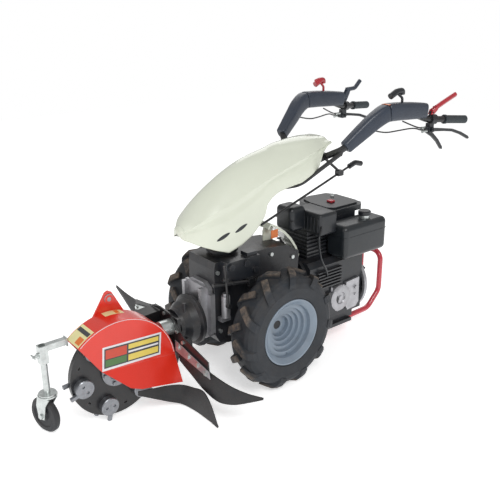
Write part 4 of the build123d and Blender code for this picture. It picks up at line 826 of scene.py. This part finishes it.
# ---------------------------------------------------------------- rubber sheets
def hanging(plan, top, low, thick):
    """A sheet along a plan line of (x, y) points: each row runs straight from the top height
    to the low one, with smooth curves through the given points, and both faces half a
    thickness from the middle surface along the plan line's own normal."""
    plan = np.asarray(plan, float)
    s = np.concatenate([[0], np.cumsum(np.linalg.norm(np.diff(plan, axis=0), axis=1))])
    at = np.linspace(0, s[-1], 70)
    xy, high, deep = through(s, plan, at), through(s, top, at), through(s, low, at)
    run = unit(np.gradient(xy, axis=0))
    normal = np.stack([run[:, 1], -run[:, 0]], -1) * thick / 2
    b = np.linspace(0, 1, 12)[None]
    z = high[:, None] + (deep - high)[:, None] * b
    sway = 3.0 * np.sin(np.pi * b) * np.sin(at / s[-1] * 7)[:, None]
    front = np.stack([(xy[:, 0] + normal[:, 0])[:, None] + sway, (xy[:, 1] + normal[:, 1])[:, None]
                      + 0 * b, z], -1)
    back = np.stack([(xy[:, 0] - normal[:, 0])[:, None] + sway, (xy[:, 1] - normal[:, 1])[:, None]
                     + 0 * b, z], -1)
    points, faces = sheet(front, (0, 0, 0))
    points[len(points) // 2:] = back.reshape(-1, 3)
    return points, faces


class TRACTOR_OT_rubber(bpy.types.Operator):
    """Curved rubber wings and curtain, with the clamp strip that holds them"""
    bl_idname = "tractor.rubber"
    bl_label = "Rubber sheets"

    def execute(self, context):
        left = hanging([(-397, -64), (-397, -150), (-396, -230), (-386, -310), (-364, -372),
                        (-334, -420), (-298, -462)], (236, 222, 208, 192, 174, 160, 149),
                       (170, 139, 110, 93, 103, 123, 142), 6)
        right = hanging([(-397, 138), (-397, 230), (-396, 300), (-392, 380), (-384, 460)],
                        (330, 320, 318, 318, 319), (250, 243, 250, 284, 312), 6)
        piece("rubber_sheets", joined([left, right]), "chassis", "sheet rubber",
              replaces=("rubber_wings",), sharp=50)
        curtain = hanging([(-604, -82), (-540, -86), (-480, -92), (-434, -116), (-416, -180),
                           (-413, -250), (-414, -296), (-417, -338)],
                          (116, 106, 98, 96, 106, 116, 78, 14), (98, 60, 26, 9, 5, 5, 6, 6), 4)
        piece("curtain_sheet", curtain, "chassis", "sheet rubber",
              replaces=("curtain_flap",), sharp=50)
        strip = [slab(vec((-58, 264), (-284, 218), (-290, 190), (-58, 216)), -412.4, -410.2, 0)]
        bolts = [b for y, z in ((-84, 240), (-150, 227), (-210, 215), (-262, 204))
                 for b in washer_bolt((-412.2, y, z), (-1, 0, 0), 8)]
        piece("clamp_face", joined(strip), "chassis", "bare die casting", bevel=0.8)
        piece("clamp_nuts", joined(bolts), "chassis", "zinc plate")
        return {"FINISHED"}


# ---------------------------------------------------------------- operators
class TRACTOR_OT_stage(bpy.types.Operator):
    """Pale floor, soft studio lights and the camera"""
    bl_idname = "tractor.stage"
    bl_label = "Stage"

    def execute(self, context):
        scene = context.scene
        half = scene.tractor_sizes.floor_size / 2
        mesh = bpy.data.meshes.new("floor")
        mesh.from_pydata([(-half, -half, 0), (half, -half, 0), (half, half, 0), (-half, half, 0)],
                         [], [(0, 1, 2, 3)])
        floor = bpy.data.objects.new("floor", mesh)
        scene.collection.objects.link(floor)
        pale = bpy.data.materials.new("pale floor")
        pale.use_nodes = True
        shader = pale.node_tree.nodes["Principled BSDF"]
        shader.inputs["Base Color"].default_value = (0.95, 0.95, 0.95, 1)
        shader.inputs["Roughness"].default_value = 0.9
        shader.inputs["Specular IOR Level"].default_value = 0.0
        shader.inputs["Emission Color"].default_value = (1, 1, 1, 1)
        shader.inputs["Emission Strength"].default_value = 0.52
        mesh.materials.append(pale)
        world = bpy.data.worlds.new("studio")
        world.use_nodes = True
        world.node_tree.nodes["Background"].inputs[0].default_value = (1, 1, 1, 1)
        tree = world.node_tree
        seen = node(tree, "ShaderNodeLightPath").outputs["Is Camera Ray"]
        strength = node(tree, "ShaderNodeMapRange", {0: seen, 3: 0.50, 4: 1.0}).outputs[0]
        tree.links.new(strength, tree.nodes["Background"].inputs[1])
        scene.world = world
        for name, place, target, power, size in (
                ("key", (-1.4, -3.2, 3.6), (0, 0, 0.5), 84, 1.6),
                ("fill", (-4.2, 0.6, 2.6), (-0.2, 0, 0.5), 26, 3.0),
                ("back", (2.6, 2.8, 3.4), (0.2, 0, 0.6), 42, 3.0)):
            light = bpy.data.lights.new(name, "AREA")
            light.energy, light.size = power, size
            lamp = bpy.data.objects.new(name, light)
            lamp.location = place
            aim = Vector(target) - Vector(place)
            lamp.rotation_euler = aim.to_track_quat("-Z", "Y").to_euler()
            scene.collection.objects.link(lamp)
        lens = bpy.data.cameras.new("camera")
        lens.lens, lens.sensor_width, lens.clip_end = 49.5, 36.0, 60.0
        camera = bpy.data.objects.new("camera", lens)
        camera.location = (-1.7042, -2.1288, 1.5364)
        aim = Vector((-0.0347, -0.0649, 0.5541)) - camera.location
        turn = aim.to_track_quat("-Z", "Y")
        camera.rotation_euler = (turn @ Quaternion((0, 0, 1), np.radians(-0.35))).to_euler()
        scene.collection.objects.link(camera)
        scene.camera = camera
        scene.view_settings.view_transform = "Standard"
        return {"FINISHED"}


class TRACTOR_OT_finishes(bpy.types.Operator):
    """Give every piece of the frame the finish of its slot"""
    bl_idname = "tractor.finishes"
    bl_label = "Finishes"

    def execute(self, context):
        for part in frame["record"]["subparts"]:
            made = frame["nodes"][part["node"]]
            material = finish(SLOT_FINISH[part["material_slot"]])
            if not made.material_slots:
                made.data.materials.append(material)
            for place in made.material_slots:
                place.material = material
        return {"FINISHED"}


OPERATORS = [TRACTOR_OT_finishes, TRACTOR_OT_cowl, TRACTOR_OT_labels, TRACTOR_OT_handlebars,
             TRACTOR_OT_cables, TRACTOR_OT_engine, TRACTOR_OT_rubber, TRACTOR_OT_stage]


class TRACTOR_PT_panel(bpy.types.Panel):
    """The tractor's sizes, colours and pieces"""
    bl_idname = "TRACTOR_PT_panel"
    bl_label = "Tractor"
    bl_space_type = "VIEW_3D"
    bl_region_type = "UI"
    bl_category = "Tractor"

    def draw(self, context):
        for group in (context.scene.tractor_colours, context.scene.tractor_sizes):
            box = self.layout.box()
            for key in type(group).__annotations__:
                box.prop(group, key)
        for kind in OPERATORS:
            self.layout.operator(kind.bl_idname)


CLASSES = [TractorColours, TractorSizes, *OPERATORS, TRACTOR_PT_panel]


def register():
    for kind in CLASSES:
        bpy.utils.register_class(kind)
    bpy.types.Scene.tractor_colours = PointerProperty(type=TractorColours)
    bpy.types.Scene.tractor_sizes = PointerProperty(type=TractorSizes)


def unregister():
    del bpy.types.Scene.tractor_sizes, bpy.types.Scene.tractor_colours
    for kind in reversed(CLASSES):
        bpy.utils.unregister_class(kind)


def main():
    """Build everything in order."""
    register()
    for kind in OPERATORS:
        family, name = kind.bl_idname.split(".")
        getattr(getattr(bpy.ops, family), name)()


if __name__ == "__main__":
    main()
